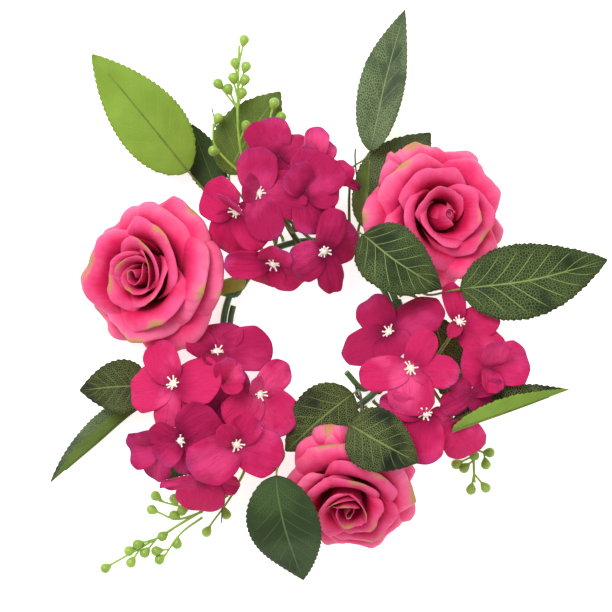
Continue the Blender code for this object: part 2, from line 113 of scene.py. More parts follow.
def paint(hexCode):
    channels = [int(hexCode[i:i + 2], 16) / 255 for i in (1, 3, 5)]
    return [c / 12.92 if c <= 0.04045 else ((c + 0.055) / 1.055) ** 2.4 for c in channels] + [1.0]


def addNode(tree, kind, sockets=None, **settings):
    # each socket is given a constant, a hex colour, or the output that feeds it
    node = tree.nodes.new(kind)
    for setting, value in settings.items():
        setattr(node, setting, value)
    for socket, value in (sockets or {}).items():
        if isinstance(value, bpy.types.NodeSocket):
            tree.links.new(value, node.inputs[socket])
        else:
            node.inputs[socket].default_value = paint(value) if isinstance(value, str) else value
    return node.outputs


def newMaterial(name, roughness, sheen=0.0, sheenColour="#FFFFFF", coat=0.0, specular=0.5):
    material = bpy.data.materials.new(name)
    material.use_nodes = True
    tree = material.node_tree
    surface = tree.nodes["Principled BSDF"]
    surface.inputs["Roughness"].default_value = roughness
    surface.inputs["Sheen Weight"].default_value = sheen
    surface.inputs["Sheen Tint"].default_value = paint(sheenColour)
    surface.inputs["Coat Weight"].default_value = coat
    surface.inputs["Specular IOR Level"].default_value = specular
    return material, tree, surface


def fadeIn(tree, strength, ranges):
    # each range takes the strength from nothing at its first value to all of it at its second
    for amount, empty, full in ranges:
        share = addNode(tree, "ShaderNodeMapRange", {
            "Value": amount, "From Min": empty, "From Max": full,
        }, interpolation_type="SMOOTHSTEP")["Result"]
        strength = addNode(tree, "ShaderNodeMath", {0: strength, 1: share}, operation="MULTIPLY")[0]
    return strength


def dyeSurface(tree, surface, ground, dyes):
    # colours laid over the ground one after another, each with its own strength
    colour = ground
    for dye, strength in dyes:
        colour = addNode(tree, "ShaderNodeMix", {0: strength, 6: colour, 7: dye}, data_type="RGBA")[2]
    tree.links.new(colour, surface.inputs["Base Color"])


def petalUv(tree):
    # u across the petal from -1 to 1, v from its foot (0) to its rim (1)
    uv = addNode(tree, "ShaderNodeUVMap", uv_map="UVMap")["UV"]
    parts = addNode(tree, "ShaderNodeSeparateXYZ", {0: uv})
    across = addNode(tree, "ShaderNodeMath", {0: parts["X"], 1: 2.0, 2: -1.0}, operation="MULTIPLY_ADD")[0]
    return uv, across, parts["Y"]


def clothBump(tree, surface, uv, threads, folds, foldHeight):
    # plain weave: two sets of threads crossing; real threads lie 0.2 mm apart and show only as a fine
    # grain, so they are drawn about three times as coarse. Folds or veins are raised on top of it
    grain = addNode(tree, "ShaderNodeMapping", {"Vector": uv, "Scale": (threads, threads, 1)})[0]
    height = 1.0
    for way in ("X", "Y"):
        threadSet = addNode(tree, "ShaderNodeTexWave", {
            "Vector": grain, "Scale": 0.32, "Distortion": 0.6,
        }, wave_type="BANDS", bands_direction=way)["Fac"]
        height = addNode(tree, "ShaderNodeMath", {0: height, 1: threadSet}, operation="MULTIPLY")[0]
    weave = addNode(tree, "ShaderNodeBump", {"Height": height, "Strength": 0.35, "Distance": 0.0001})[0]
    raised = addNode(tree, "ShaderNodeBump", {
        "Height": folds, "Normal": weave, "Strength": 0.8, "Distance": foldHeight,
    })[0]
    tree.links.new(raised, surface.inputs["Normal"])


def makeRoseCloth(name, heart, middle, rim, tip):
    # dyed polyester satin, cut by heat and curled on a hot ball: soft and faintly woven, with a brush of tan
    # green dye on the tips. Each petal is painted darker at its foot, as shade deep in the rose, and paler at
    # its rims, as painted light
    material, tree, surface = newMaterial(name, 0.62, 0.03, "#FFC2D6", specular=0.12)
    uv, across, along = petalUv(tree)
    side = addNode(tree, "ShaderNodeMath", {0: across}, operation="ABSOLUTE")[0]
    spot = addNode(tree, "ShaderNodeTexCoord")["Object"]
    cloud = addNode(tree, "ShaderNodeTexNoise", {"Vector": spot, "Scale": 90.0, "Detail": 3.0})["Fac"]
    mottled = addNode(tree, "ShaderNodeMath", {0: cloud, 1: 0.3, 2: -0.15}, operation="MULTIPLY_ADD")[0]
    reach = addNode(tree, "ShaderNodeMath", {0: along, 1: mottled}, operation="ADD")[0]
    brushed = addNode(tree, "ShaderNodeTexNoise", {"Vector": spot, "Scale": 22.0, "Detail": 1.0})["Fac"]
    # painted shade: the heart colour at the petal's foot; painted light: the rim colour towards its edge; the
    # tip is dye
    dyeSurface(tree, surface, heart, [
        (middle, fadeIn(tree, 1.0, [(reach, 0.25, 0.8)])),
        (rim, fadeIn(tree, 1.0, [(reach, 0.72, 1.04)])),
        (tip, fadeIn(tree, 0.85, [(reach, 0.91, 1.0), (side, 0.38, 0.1), (brushed, 0.46, 0.52)])),
    ])
    pleated = addNode(tree, "ShaderNodeMapping", {"Vector": uv, "Scale": (4.5, 0.7, 1)})[0]
    pleats = addNode(tree, "ShaderNodeTexNoise", {"Vector": pleated, "Scale": 5.0, "Detail": 2.0})["Fac"]
    clothBump(tree, surface, uv, 60, pleats, 0.0009)
    return material


def makeHydrangeaCloth(name, heart, middle, rim, edge):
    # dyed polyester, pressed in a veined mould: fine ribs fan out over each petal, violet at the rims
    material, tree, surface = newMaterial(name, 0.7, 0.03, "#FF9CC0", specular=0.12)
    uv, _, along = petalUv(tree)
    spot = addNode(tree, "ShaderNodeTexCoord")["Object"]
    cloud = addNode(tree, "ShaderNodeTexNoise", {"Vector": spot, "Scale": 38.0, "Detail": 4.0})["Fac"]
    fanned = addNode(tree, "ShaderNodeMapping", {"Vector": uv, "Scale": (9.0, 1.1, 1)})[0]
    ribs = addNode(tree, "ShaderNodeTexNoise", {
        "Vector": fanned, "Scale": 3.0, "Detail": 5.0, "Roughness": 0.6,
    })["Fac"]
    reach = addNode(tree, "ShaderNodeMath", {0: cloud, 1: 0.35, 2: along}, operation="MULTIPLY_ADD")[0]
    # painted shade: the heart colour at each petal's foot, where the petals overlap; the heart colour also
    # darkens the ribs a little; the rim colour in cloudy patches is partly tone that differs at random and
    # partly painted sheen; the violet edge is dye
    dyeSurface(tree, surface, heart, [
        (middle, fadeIn(tree, 1.0, [(reach, 0.2, 0.65)])),
        (rim, fadeIn(tree, 1.0, [(cloud, 0.45, 0.68)])),
        (edge, fadeIn(tree, 0.5, [(reach, 0.98, 1.2), (cloud, 0.42, 0.6)])),
        (heart, fadeIn(tree, 0.35, [(ribs, 0.52, 0.68)])),
    ])
    clothBump(tree, surface, uv, 40, ribs, 0.0011)
    return material


def makeLeafCloth(name, ground, patch, vein, netStrength, veinStrength, rough=0.6):
    # printed polyester leaf: a dark ground with a fine net of pale veins, a midrib and curved side veins
    material, tree, surface = newMaterial(name, rough, specular=0.18)
    uv, across, along = petalUv(tree)
    side = addNode(tree, "ShaderNodeMath", {0: across}, operation="ABSOLUTE")[0]
    spot = addNode(tree, "ShaderNodeTexCoord")["Object"]
    cloud = addNode(tree, "ShaderNodeTexNoise", {"Vector": spot, "Scale": 45.0, "Detail": 3.0})["Fac"]
    cells = addNode(tree, "ShaderNodeMapping", {"Vector": uv, "Scale": (25.0, 50.0, 1)})[0]   # 1.4 mm wide
    net = addNode(tree, "ShaderNodeTexVoronoi", {
        "Vector": cells, "Scale": 1.0,
    }, feature="DISTANCE_TO_EDGE", voronoi_dimensions="2D")["Distance"]
    apart = side     # how far a spot is from the nearest side vein
    for operation, value in (
        ("POWER", leafCut["veinBend"]), ("MULTIPLY", -leafCut["veinSweep"]), ("ADD", along),
        ("MULTIPLY", leafCut["sideVeins"]), ("FRACT", 0), ("SUBTRACT", 0.5), ("ABSOLUTE", 0),
    ):
        apart = addNode(tree, "ShaderNodeMath", {0: apart, 1: value}, operation=operation)[0]
    lines = fadeIn(tree, 0.8, [(side, 0.035, 0.012)])
    for more in (
        fadeIn(tree, veinStrength, [(apart, 0.05, 0.015), (side, 0.95, 0.5)]),
        fadeIn(tree, netStrength, [(net, 0.2, 0.05), (cloud, 0.3, 0.55)]),
    ):
        lines = addNode(tree, "ShaderNodeMath", {0: lines, 1: more}, operation="MAXIMUM")[0]
    dyeSurface(tree, surface, ground, [(patch, fadeIn(tree, 1.0, [(cloud, 0.35, 0.7)])), (vein, lines)])
    clothBump(tree, surface, uv, 70, lines, 0.0004)
    return material


def makeMouldedGreen(name, light, dark, roughness, coat=0.0):
    # moulded polythene, faintly cloudy, with fine scratches along the mould
    material, tree, surface = newMaterial(name, roughness, coat=coat)
    spot = addNode(tree, "ShaderNodeTexCoord")["Object"]
    cloud = addNode(tree, "ShaderNodeTexNoise", {"Vector": spot, "Scale": 60.0, "Detail": 3.0})["Fac"]
    grain = addNode(tree, "ShaderNodeTexNoise", {"Vector": spot, "Scale": 900.0, "Detail": 2.0})["Fac"]
    dyeSurface(tree, surface, dark, [(light, fadeIn(tree, 1.0, [(cloud, 0.3, 0.7)]))])
    bump = addNode(tree, "ShaderNodeBump", {"Height": grain, "Strength": 0.3, "Distance": 0.0001})[0]
    tree.links.new(bump, surface.inputs["Normal"])
    return material


def makeTapePaper(name):
    # floral tape: waxed crepe paper, wound tight, with fine wrinkles across it
    material, tree, surface = newMaterial(name, 0.8)
    spot = addNode(tree, "ShaderNodeTexCoord")["Object"]
    crepe = addNode(tree, "ShaderNodeTexNoise", {"Vector": spot, "Scale": 700.0, "Detail": 4.0})["Fac"]
    dyeSurface(tree, surface, "#2C4B26", [("#41693A", fadeIn(tree, 1.0, [(crepe, 0.35, 0.65)]))])
    bump = addNode(tree, "ShaderNodeBump", {"Height": crepe, "Strength": 0.6, "Distance": 0.0003})[0]
    tree.links.new(bump, surface.inputs["Normal"])
    return material


def makeFloor():
    material, _, surface = newMaterial("whiteTable", 0.9)
    surface.inputs["Base Color"].default_value = paint(studio["floorColour"])
    surface.inputs["Emission Color"].default_value = paint(studio["floorColour"])
    surface.inputs["Emission Strength"].default_value = studio["floorGlow"]
    bpy.ops.object.select_all(action="DESELECT")
    bpy.ops.mesh.primitive_plane_add(size=studio["floorSize"] * mm, location=(0, 0, 0))
    floor = bpy.context.object
    floor.name = "table_top"
    floor.data.materials.append(material)


# Tools for cloth pieces

def clothGrid(columns, rows, shape):
    # a flat grid whose points are then moved to shape(u, v), u from -1 to 1 and v from 0 to 1
    bpy.ops.object.select_all(action="DESELECT")
    bpy.ops.mesh.primitive_grid_add(x_subdivisions=columns, y_subdivisions=rows, size=2)
    sheet = bpy.context.object
    flat = np.empty(len(sheet.data.vertices) * 3)
    sheet.data.vertices.foreach_get("co", flat)
    flat = flat.reshape(-1, 3)
    points = shape(flat[:, 0], (flat[:, 1] + 1) / 2)
    sheet.data.vertices.foreach_set("co", points.astype(np.float32).ravel())
    sheet.data.update()
    return sheet


def pick(pieces):
    bpy.ops.object.select_all(action="DESELECT")
    for piece in pieces:
        piece.select_set(True)
    bpy.context.view_layer.objects.active = pieces[0]


def joinSheets(sheets, name):
    pick(sheets)
    bpy.ops.object.join()
    sheets[0].name = name
    return sheets[0]


def closeSeams(piece, holeSides=0):
    pick([piece])
    bpy.ops.object.mode_set(mode="EDIT")
    bpy.ops.mesh.select_all(action="SELECT")
    bpy.ops.mesh.remove_doubles(threshold=0.00001)
    if holeSides:
        bpy.ops.mesh.fill_holes(sides=holeSides)
    bpy.ops.mesh.normals_make_consistent(inside=False)
    bpy.ops.object.mode_set(mode="OBJECT")


def thicken(piece, materials, wall, levels):
    # the flat cloth is softened by levels of subdivision and given a wall; a second material is its back
    for material in materials:
        piece.data.materials.append(material)
    bpy.context.view_layer.objects.active = piece
    if levels:
        rounder = piece.modifiers.new("soften", "SUBSURF")
        rounder.levels = rounder.render_levels = levels
        bpy.ops.object.modifier_apply(modifier="soften")
    solid = piece.modifiers.new("wall", "SOLIDIFY")
    solid.thickness = wall * mm
    solid.offset = 0
    if len(materials) > 1:
        solid.material_offset = 1
    bpy.ops.object.modifier_apply(modifier="wall")
    piece.data.shade_smooth()
    bpy.ops.object.select_all(action="DESELECT")


def settle(piece, node):
    # the piece moves with its node's body and stands for the node
    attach(piece, bodyOf[node])
    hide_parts(node)


def settleLoose(piece, body):
    # a piece with no node of its own
    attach(piece, body)


def smoothPath(points, steps):
    points = [Vector(point) for point in points]
    reached = [2 * points[0] - points[1], *points, 2 * points[-1] - points[-2]]
    path = []
    for a, b, c, d in zip(reached, reached[1:], reached[2:], reached[3:]):
        for step in range(steps):
            t = step / steps
            rise = (c - a) * t
            turn = (2 * a - 5 * b + 4 * c - d) * t**2
            path.append((2 * b + rise + turn + (3 * b - a - 3 * c + d) * t**3) / 2)
    return [*path, points[-1]]


def addWire(name, routes, radius, material, tapers=None, sides=5):
    # one or more round wires along their routes, as one mesh; a taper gives the radius's share at the end
    shape = bpy.data.curves.new(name, "CURVE")
    shape.dimensions = "3D"
    shape.bevel_depth = radius * mm
    shape.bevel_resolution = sides
    shape.use_fill_caps = True
    for index, route in enumerate(routes):
        run = shape.splines.new("POLY")
        run.points.add(len(route) - 1)
        end = tapers[index] if tapers else (1.0, 1.0)
        for step, (point, spot) in enumerate(zip(run.points, route)):
            share = step / (len(route) - 1)
            point.co = (*spot, 1)
            point.radius = end[0] + (end[1] - end[0]) * share
    wire = bpy.data.objects.new(name, shape)
    bpy.context.collection.objects.link(wire)
    pick([wire])
    bpy.ops.object.convert(target="MESH")
    piece = bpy.context.object
    piece.data.materials.clear()
    piece.data.materials.append(material)
    piece.data.shade_smooth()
    bpy.ops.object.select_all(action="DESELECT")
    return piece


def stackAxes(direction):
    # axes with z along a direction, and x as near to the wreath's +X as it can be
    up = Vector(direction).normalized()
    east = (Vector((1, 0, 0)) - up * up.x).normalized()
    return Matrix((east, up.cross(east), up)).transposed()


def leaning(azimuth, tilt):
    around, down = math.radians(azimuth), math.radians(tilt)
    return Vector((math.sin(down) * math.cos(around), math.sin(down) * math.sin(around), math.cos(down)))


def moved(points, axes, origin):
    # points in millimetres in a piece's own axes, as places in the wreath's frame
    return points @ np.array(axes).T * mm + np.array(origin)


# Hoop, bindings and stems

def makeHoop(green):
    bpy.ops.object.select_all(action="DESELECT")
    bpy.ops.mesh.primitive_torus_add(
        major_radius=hoopRadius, minor_radius=hoopWire, major_segments=180, minor_segments=28,
    )
    hoop = bpy.context.object
    hoop.name = "hoop_wire"
    hoop.data.transform(Matrix.Translation(hoopMiddle))
    hoop.data.materials.append(green)
    hoop.data.shade_smooth()
    settle(hoop, "base_hoop")


stemRun = {"wire": 3.2, "gap": 0.4, "bindStep": 8, "tailLead": 6, "crossing": 15, "headLead": 8.0, "peg": 6.5}
stemRing = hoopRadius / mm - hoopWire / mm - stemRun["gap"] - stemRun["wire"] / 2
wireMiddle = -hoopWire / mm      # the middle of the hoop's wire, measured from its top

binding = {
    "wall": 1.0, "length": 9.0, "turns": 4, "angles": (14, 76, 126, 192, 256, 321),
    "tape": 0.3, "lap": 0.35, "pinch": 0.25,      # the tape's own thickness, and how its ends are pulled in
}


def makeBinding(number, angle, tape):
    # tape wound round hoop and stem; each turn lies a little over the one before
    half = math.degrees(binding["length"] / 2 * mm / hoopRadius)
    reach = hoopWire / mm + stemRun["gap"] + binding["wall"] * 0.85
    middle = (hoopRadius / mm + stemRing) / 2
    flat = (hoopRadius / mm - stemRing) / 2

    def shape(u, v):
        turn = u * math.pi
        lap = ((v * binding["turns"] + u / 2) % 1.0) * binding["lap"]
        ends = 1 - binding["pinch"] * np.maximum(0, np.abs(v - 0.5) * 2 - 0.85) / 0.15
        size = (reach - binding["tape"] + lap) * ends
        out = middle + np.clip(np.cos(turn) * 3, -1, 1) * flat + size * np.cos(turn)
        rise = wireMiddle + np.maximum(size * np.sin(turn), -reach)
        around = np.radians(angle - half + 2 * half * v)
        return np.stack((hoopMiddle.x + out * np.cos(around) * mm, hoopMiddle.y + out * np.sin(around) * mm,
                         hoopTop + rise * mm), 1)

    sleeve = clothGrid(40, 24, shape)
    sleeve.name = f"tape_binding_{number}"
    closeSeams(sleeve)
    thicken(sleeve, [tape], binding["tape"], 0)
    settle(sleeve, f"binding_band_{number}")


def stemRoute(run, tail, target, way, last):
    start, leave = run
    points = []
    if tail:
        points.append(place(*tail))
        crossed = stemRun["wire"]     # the cut tail lies over the hoop and on its inner side
        points.append(onRing(start - stemRun["tailLead"], stemRing - crossed, wireMiddle + crossed))
    count = max(2, round((leave - start) / stemRun["bindStep"]))
    for i in range(count + 1):
        points.append(onRing(start + (leave - start) * i / count, stemRing, wireMiddle))
    lift = stemRun["wire"] + stemRun["gap"]
    points.append(onRing(leave + stemRun["crossing"] / 2, stemRing, wireMiddle + lift))
    clear = stemRun["wire"] / 2 + 3 * stemRun["gap"]
    points.append(onRing(leave + stemRun["crossing"], hoopRadius / mm, clear))
    points.append(target - way * stemRun["headLead"] * mm)
    points.append(target)
    if last:
        points.append(target + way * last * mm)
    return points


# Roses: rings of petals round a rolled heart. A rose has the stretch of hoop that its stem is bound to and
# the way and angle it leans (degrees), its foot (mm), its size beside the rings below, its turn about its
# stem, and flare, how much further the petals on the high side of its lean have fallen open. Closed is how
# far its heart curls in over itself. Spare petals on its outer ring each have a way, a length and a width.

roses = {
    "left_rose": {
        "run": (117, 142), "foot": (-75.0, 28.5, 10.0), "lean": (176, 33), "size": 1.06,
        "turn": 20, "flare": 12, "closed": 0, "seed": 4,
    },
    "back_rose": {
        "run": (4, 28), "foot": (60.1, 59.4, 9.0), "lean": (12, 22), "size": 0.98,
        "turn": 70, "flare": 4, "closed": 70, "seed": 9,
        "spare": [(126, 44, 15), (150, 36, 20)],
    },
    "front_rose": {
        "run": (248, 268), "foot": (19.4, -75.5, 11.0), "lean": (270, 42), "size": 0.97,
        "turn": 140, "flare": 30, "closed": 20, "seed": 15,
        "spare": [(104, 47, 26)],
    },
}

# A ring's numbers are in the head's own axes: how many petals, where their feet stand (radius, height), how
# long and wide they are in mm, the slope of a petal from foot to rim in degrees, how far its sides roll
# back, the height of its ruffles, its spiral, and how much the petals differ in how far they have opened

roseRings = {
    "outer_a": {
        "count": 5, "foot": (3.2, 8.6), "length": 43, "width": 54, "rise": (2, 40, 26, -55),
        "sideRoll": 75, "ruffle": 2.2, "spiral": 2.2, "spread": 8,
    },
    "outer_b": {
        "count": 4, "foot": (3.2, 9.6), "length": 41, "width": 56, "rise": (4, 54, 44, -40),
        "sideRoll": 70, "ruffle": 2.0, "spiral": 2.6, "spread": 8,
    },
    "inner_a": {
        "count": 3, "foot": (3.2, 10.6), "length": 38, "width": 56, "rise": (6, 68, 66, -10),
        "sideRoll": 55, "ruffle": 1.6, "spiral": 3.2, "spread": 6,
    },
    "inner_b": {
        "count": 3, "foot": (3.2, 11.6), "length": 32, "width": 42, "rise": (14, 84, 82, 20),
        "sideRoll": 40, "ruffle": 1.2, "spiral": 2.8, "spread": 5,
    },
    "heart_a": {
        "count": 3, "foot": (3.2, 12.6), "length": 27, "width": 30, "rise": (34, 92, 92, 60),
        "sideRoll": 30, "ruffle": 0.7, "spiral": 2.0, "spread": 4,
    },
    "heart_b": {
        "count": 2, "foot": (2.6, 13.4), "length": 25, "width": 20, "rise": (70, 92, 94, 84),
        "sideRoll": 15, "ruffle": 0.4, "spiral": 1.5, "spread": 3,
    },
}

ringNodes = {
    "outer_a": "outer_petals", "outer_b": "outer_petals", "inner_a": "inner_petals",
    "inner_b": "inner_petals", "heart_a": "bud", "heart_b": "bud",
}


# the outline of a flat petal: how much shorter it is at its sides, how round its corners are, and a lower
# number in widening for one that widens nearer its foot
rosePetal = {
    "cornerCut": 0.2, "cornerPower": 3, "widening": 0.8, "steps": 24, "leastRadius": 2.2, "cloth": 0.4,
}


def petalHalfWidth(v, width, outline):
    # narrow at the foot and widest near the rim
    widening = np.pi / 2 * v ** outline["widening"] * 1.12
    return width / 2 * (0.16 + 0.84 * np.sin(np.minimum(np.pi * 0.56, widening)))


def petalReach(u, length, outline):
    return length * (1 - outline["cornerCut"] * np.abs(u) ** outline["cornerPower"])


def cutArea(width, length, outline):
    # the flat area of one petal before it is curled, in square metres
    u, v = np.meshgrid(np.linspace(-1, 1, 41), np.linspace(0, 1, 41))
    across, up = u * petalHalfWidth(v, width, outline), v * petalReach(u, length, outline)
    strips = (up[1:, 1:] - up[:-1, 1:]) * (across[1:, 1:] - across[1:, :-1])
    return float(strips.sum()) * mm * mm


def makeRosePetals(name, rose, ringName, material):
    ring = roseRings[ringName]
    chance = random.Random(f"{rose['seed']} {ringName}")
    size = rose["size"]
    axes = stackAxes(leaning(*rose["lean"]))
    foot = place(*rose["foot"])
    first = rose["turn"] + sorted(roseRings).index(ringName) * 137.5     # the golden angle parts the rings
    petals = []
    spare = rose.get("spare", []) if ringName == "outer_a" else []
    for i in range(ring["count"] + len(spare)):
        turn = math.radians(first + 360 / ring["count"] * i + chance.uniform(-7, 7))
        length = ring["length"] * size * chance.uniform(0.93, 1.06)
        width = ring["width"] * size
        if i >= ring["count"]:
            angle, length, width = spare[i - ring["count"]]
            turn = math.radians(angle)
        highSide = math.cos(turn - math.radians(rose["lean"][0] + 180))
        opened = chance.uniform(-ring["spread"], ring["spread"]) + rose["flare"] * max(0.0, highSide)
        roll = ring["sideRoll"] * chance.uniform(0.6, 1.25)
        waves = chance.uniform(1.6, 2.6)
        phase = chance.uniform(0, 6.28)
        curl = chance.uniform(-14, 12) + (rose["closed"] if "heart" in ringName else 0)
        skew = chance.uniform(-0.25, 0.25)

        def shape(u, v):
            reach = petalReach(u, length, rosePetal)
            radius = np.full_like(u, ring["foot"][0] * size)
            height = np.full_like(u, ring["foot"][1])
            steps = rosePetal["steps"]
            for k in range(steps):
                t = v * (k + 0.5) / steps
                slope = np.interp(t, (0, 0.35, 0.72, 1), ring["rise"]) - opened * t + curl * t**4
                slope = slope - roll * np.clip(np.abs(u + skew * t) - 0.25, 0, 1) ** 1.5 * t**2
                radius += np.cos(np.radians(slope)) * v * reach / steps
                height += np.sin(np.radians(slope)) * v * reach / steps
            ripple = ring["ruffle"] * np.sin(waves * math.pi * u + phase) * v**4
            fine = 0.25 * ring["ruffle"] * np.sin(waves * 9 * u + phase * 2) * v**8
            radius += ripple * 0.6 + ring["spiral"] * u * v + fine
            height += ripple * 0.8 + fine
            half = petalHalfWidth(v, width, rosePetal)
            around = turn + u * half / np.maximum(radius, rosePetal["leastRadius"])
            points = np.stack((radius * np.cos(around), radius * np.sin(around), height), 1)
            return moved(points, axes, foot)

        petals.append(clothGrid(18, 18, shape))
    piece = joinSheets(petals, f"{name}_{ringName}")
    thicken(piece, [material], rosePetal["cloth"], 1)
    node = f"{name}_{ringNodes[ringName]}"
    settle(piece, node)
    count, width, length = ring["count"] + len(spare), ring["width"] * size, ring["length"] * size


calyx = {
    "rows": (0, 0.2, 0.45, 0.75, 0.92, 1), "radii": (1.9, 3.4, 4.6, 6.6, 7.3, 2.5),
    "heights": (0.0, 0.2, 3.0, 6.4, 7.9, 8.2), "sepals": 5, "length": 17.0, "width": 6.0,
}


def makeCalyx(name, rose, green):
    axes = stackAxes(leaning(*rose["lean"]))
    foot = place(*rose["foot"])

    def cup(u, v):
        turn = u * math.pi
        radius = np.interp(v, calyx["rows"], calyx["radii"])
        height = np.interp(v, calyx["rows"], calyx["heights"])
        return moved(np.stack((radius * np.cos(turn), radius * np.sin(turn), height), 1), axes, foot)

    parts = [clothGrid(32, 20, cup)]
    for i in range(calyx["sepals"]):
        turn = 2 * math.pi * i / calyx["sepals"] + math.radians(rose["turn"])

        def sepal(u, v):
            along = 5.5 + calyx["length"] * v
            across = u * calyx["width"] / 2 * np.sin(np.pi * (0.22 + 0.76 * v)) ** 0.9
            lift = 6.6 + 20 * (along / (36 * rose["size"])) ** 2.2 - 2.4 * v - 0.05 * across**2
            x = along * math.cos(turn) - across * math.sin(turn)
            y = along * math.sin(turn) + across * math.cos(turn)
            return moved(np.stack((x, y, lift), 1), axes, foot)

        parts.append(clothGrid(6, 16, sepal))
    piece = joinSheets(parts, f"{name}_calyx_cup")
    closeSeams(piece)
    thicken(piece, [green], 0.7, 1)
    settle(piece, f"{name}_calyx")


# Hydrangeas: florets lie in layers on a dome round the head's middle. Each floret has its middle in
# millimetres about the hoop, its layer, and its petals: the way each points as seen from above, its
# length and width in millimetres, and how far it stands up (degrees).

dome = {
    "radius": 44.0, "sink": 7.0, "layerStep": 2.1, "upright": 0.55, "branch": 1.0,
    "lowest": 0.6, "pressedAbove": 64.0, "pressedRoom": 9.0,     # above the table; petals bend away from both
}

hydrangeas = {
    "back_hydrangea": {
        "seed": 0, "run": (70, 84), "middle": (-17.0, 65.0), "hub": (-17.0, 64.0, 10.0),
        "florets": {
            "a": {"at": (-40.2, 63.1, 1), "cloth": 0,
                  "petals": [(147, 22, 25, 0), (247, 27, 25, -8), (305, 24, 17, 5), (58, 23, 18, 50)]},
            "b": {"at": (-28.3, 72.8, 2), "cloth": 1,
                  "petals": [(93, 24, 23, 0), (358, 27, 27, -5), (281, 26, 20, -5), (165, 19, 16, 55)]},
            "c": {"at": (-21.0, 36.0, 0), "cloth": 0,
                  "petals": [(170, 27, 18, 20), (75, 15, 22, 30), (250, 20, 21, -10), (316, 24, 21, -5)]},
            "d": {"at": (6.1, 42.5, 2), "cloth": 1,
                  "petals": [(74, 25, 16, 15), (12, 23, 24, -10), (287, 27, 15, 0), (205, 20, 24, 5)]},
            "e": {"at": (-18.0, 93.0, 0), "cloth": 1, "eye": False,
                  "petals": [(118, 22, 26, 10), (28, 18, 20, 5), (300, 22, 20, 0), (200, 20, 18, 0)]},
            "f": {"at": (-3.0, 74.0, 1), "cloth": 1, "eye": False,
                  "petals": [(62, 22, 31, 5), (0, 18, 20, 10), (140, 16, 22, 25), (292, 24, 25, -12)]},
        },
        "loose": {
            "g": {"at": (0.0, 88.0, 0), "cloth": 2, "eye": False,
                  "petals": [(88, 21, 15, 25), (50, 17, 12, 15), (135, 14, 13, 35), (200, 16, 16, 0)]},
            "h": {"at": (10.0, 84.0, 0), "cloth": 0, "eye": False,
                  "petals": [(12, 13, 15, 5), (350, 21, 7, 0), (210, 8, 9, 30)]},
            "i": {"at": (-23.0, 57.0, -2), "cloth": 1, "eye": False,
                  "petals": [(100, 22, 22, 0), (170, 20, 20, 0), (215, 24, 18, 0)]},
        },
        "twigs": [
            [(-17, 62, 12), (-12, 55, 22), (-10.3, 53, 28), (-10.0, 57, 32)],
            [(-10.6, 53.4, 27), (-7.5, 54, 29), (-5, 56, 29)],
        ],
    },
    "left_hydrangea": {
        "seed": 10, "run": (163, 205), "middle": (-53.0, -47.0), "hub": (-53.0, -46.0, 10.0),
        "florets": {
            "a": {"at": (-73.5, -28.6, 1), "cloth": 2,
                  "petals": [(115, 26, 20, 5), (2, 27, 27, 0), (182, 27, 27, -5), (252, 26, 15, 0)]},
            "b": {"at": (-51.0, -11.9, 0), "cloth": 1,
                  "petals": [(88, 19, 28, 0), (6, 30, 28, 0), (172, 18, 20, 20), (262, 17, 16, 20)]},
            "c": {"at": (-28.3, -33.9, 1), "cloth": 2,
                  "petals": [(320, 27, 24, -5), (228, 24, 22, 0), (48, 23, 17, 0), (140, 12, 12, 30)]},
            "d": {"at": (-70.0, -58.5, 0), "cloth": 1,
                  "petals": [(32, 25, 30, 0), (150, 18, 14, 25), (225, 16, 17, 25), (292, 20, 18, 0)]},
            "e": {"at": (-40.2, -60.0, 2), "cloth": 0,
                  "petals": [(216, 30, 28, -5), (338, 26, 26, -5), (130, 17, 13, 25), (62, 18, 18, 10)]},
            "f": {"at": (-58.2, -77.9, 1), "cloth": 0, "eye": False,
                  "petals": [(262, 26, 27, -5), (200, 25, 8, 5), (330, 22, 16, 0), (100, 12, 12, 10)]},
        },
        "loose": {
            "g": {"at": (-82.0, -62.0, 0), "cloth": 1, "eye": False,
                  "petals": [(190, 16, 25, 20), (100, 15, 20, 35), (262, 20, 18, 5), (10, 9, 14, 45)]},
            "h": {"at": (-45.5, -27.0, 0), "cloth": 2, "eye": False,
                  "petals": [(112, 17, 14, 50), (292, 16, 13, 40), (20, 14, 14, 50)]},
            "i": {"at": (-50.0, -41.0, -2), "cloth": 1, "eye": False,
                  "petals": [(65, 24, 22, 0), (150, 22, 24, 0), (240, 24, 20, 0), (330, 25, 24, 0)]},
        },
    },
    "right_hydrangea": {
        "seed": 20, "run": (316, 326), "tail": (18.9, -23.2, 6.0),
        "middle": (65.0, -26.0), "hub": (61.0, -25.0, 12.0),
        "florets": {
            "a": {"at": (41.4, -1.2, 1), "cloth": 1,
                  "petals": [(122, 26, 21, 0), (25, 32, 25, 0), (205, 28, 23, 0), (285, 19, 23, 10)]},
            "b": {"at": (52.3, -20.0, 2), "cloth": 2,
                  "petals": [(62, 23, 16, 12), (353, 26, 18, 0), (270, 26, 26, -3), (190, 28, 19, 0)]},
            "c": {"at": (78.8, 4.0, 0), "cloth": 2,
                  "petals": [(108, 22, 13, 5), (322, 32, 23, 0), (240, 15, 9, 20), (10, 22, 18, 0)]},
            "d": {"at": (59.9, -43.7, 1), "cloth": 0,
                  "petals": [(262, 28, 26, 0), (165, 25, 16, 0), (200, 27, 9, -10), (300, 29, 12, -15)]},
            "e": {"at": (94.0, -20.0, 1), "cloth": 0, "eye": False,
                  "petals": [(12, 22, 25, 10), (172, 16, 24, 0), (92, 17, 18, 35), (265, 15, 14, 20)]},
            "f": {"at": (75.0, -48.0, 0), "cloth": 2, "eye": False,
                  "petals": [(298, 25, 24, 0), (240, 17, 16, 0), (170, 14, 14, 0)]},
        },
        "loose": {
            "g": {"at": (84.0, -34.0, 0), "cloth": 1, "eye": False,
                  "petals": [(22, 18, 9, 10), (205, 18, 14, 0), (150, 12, 12, 10), (320, 14, 13, 0)]},
        },
    },
}

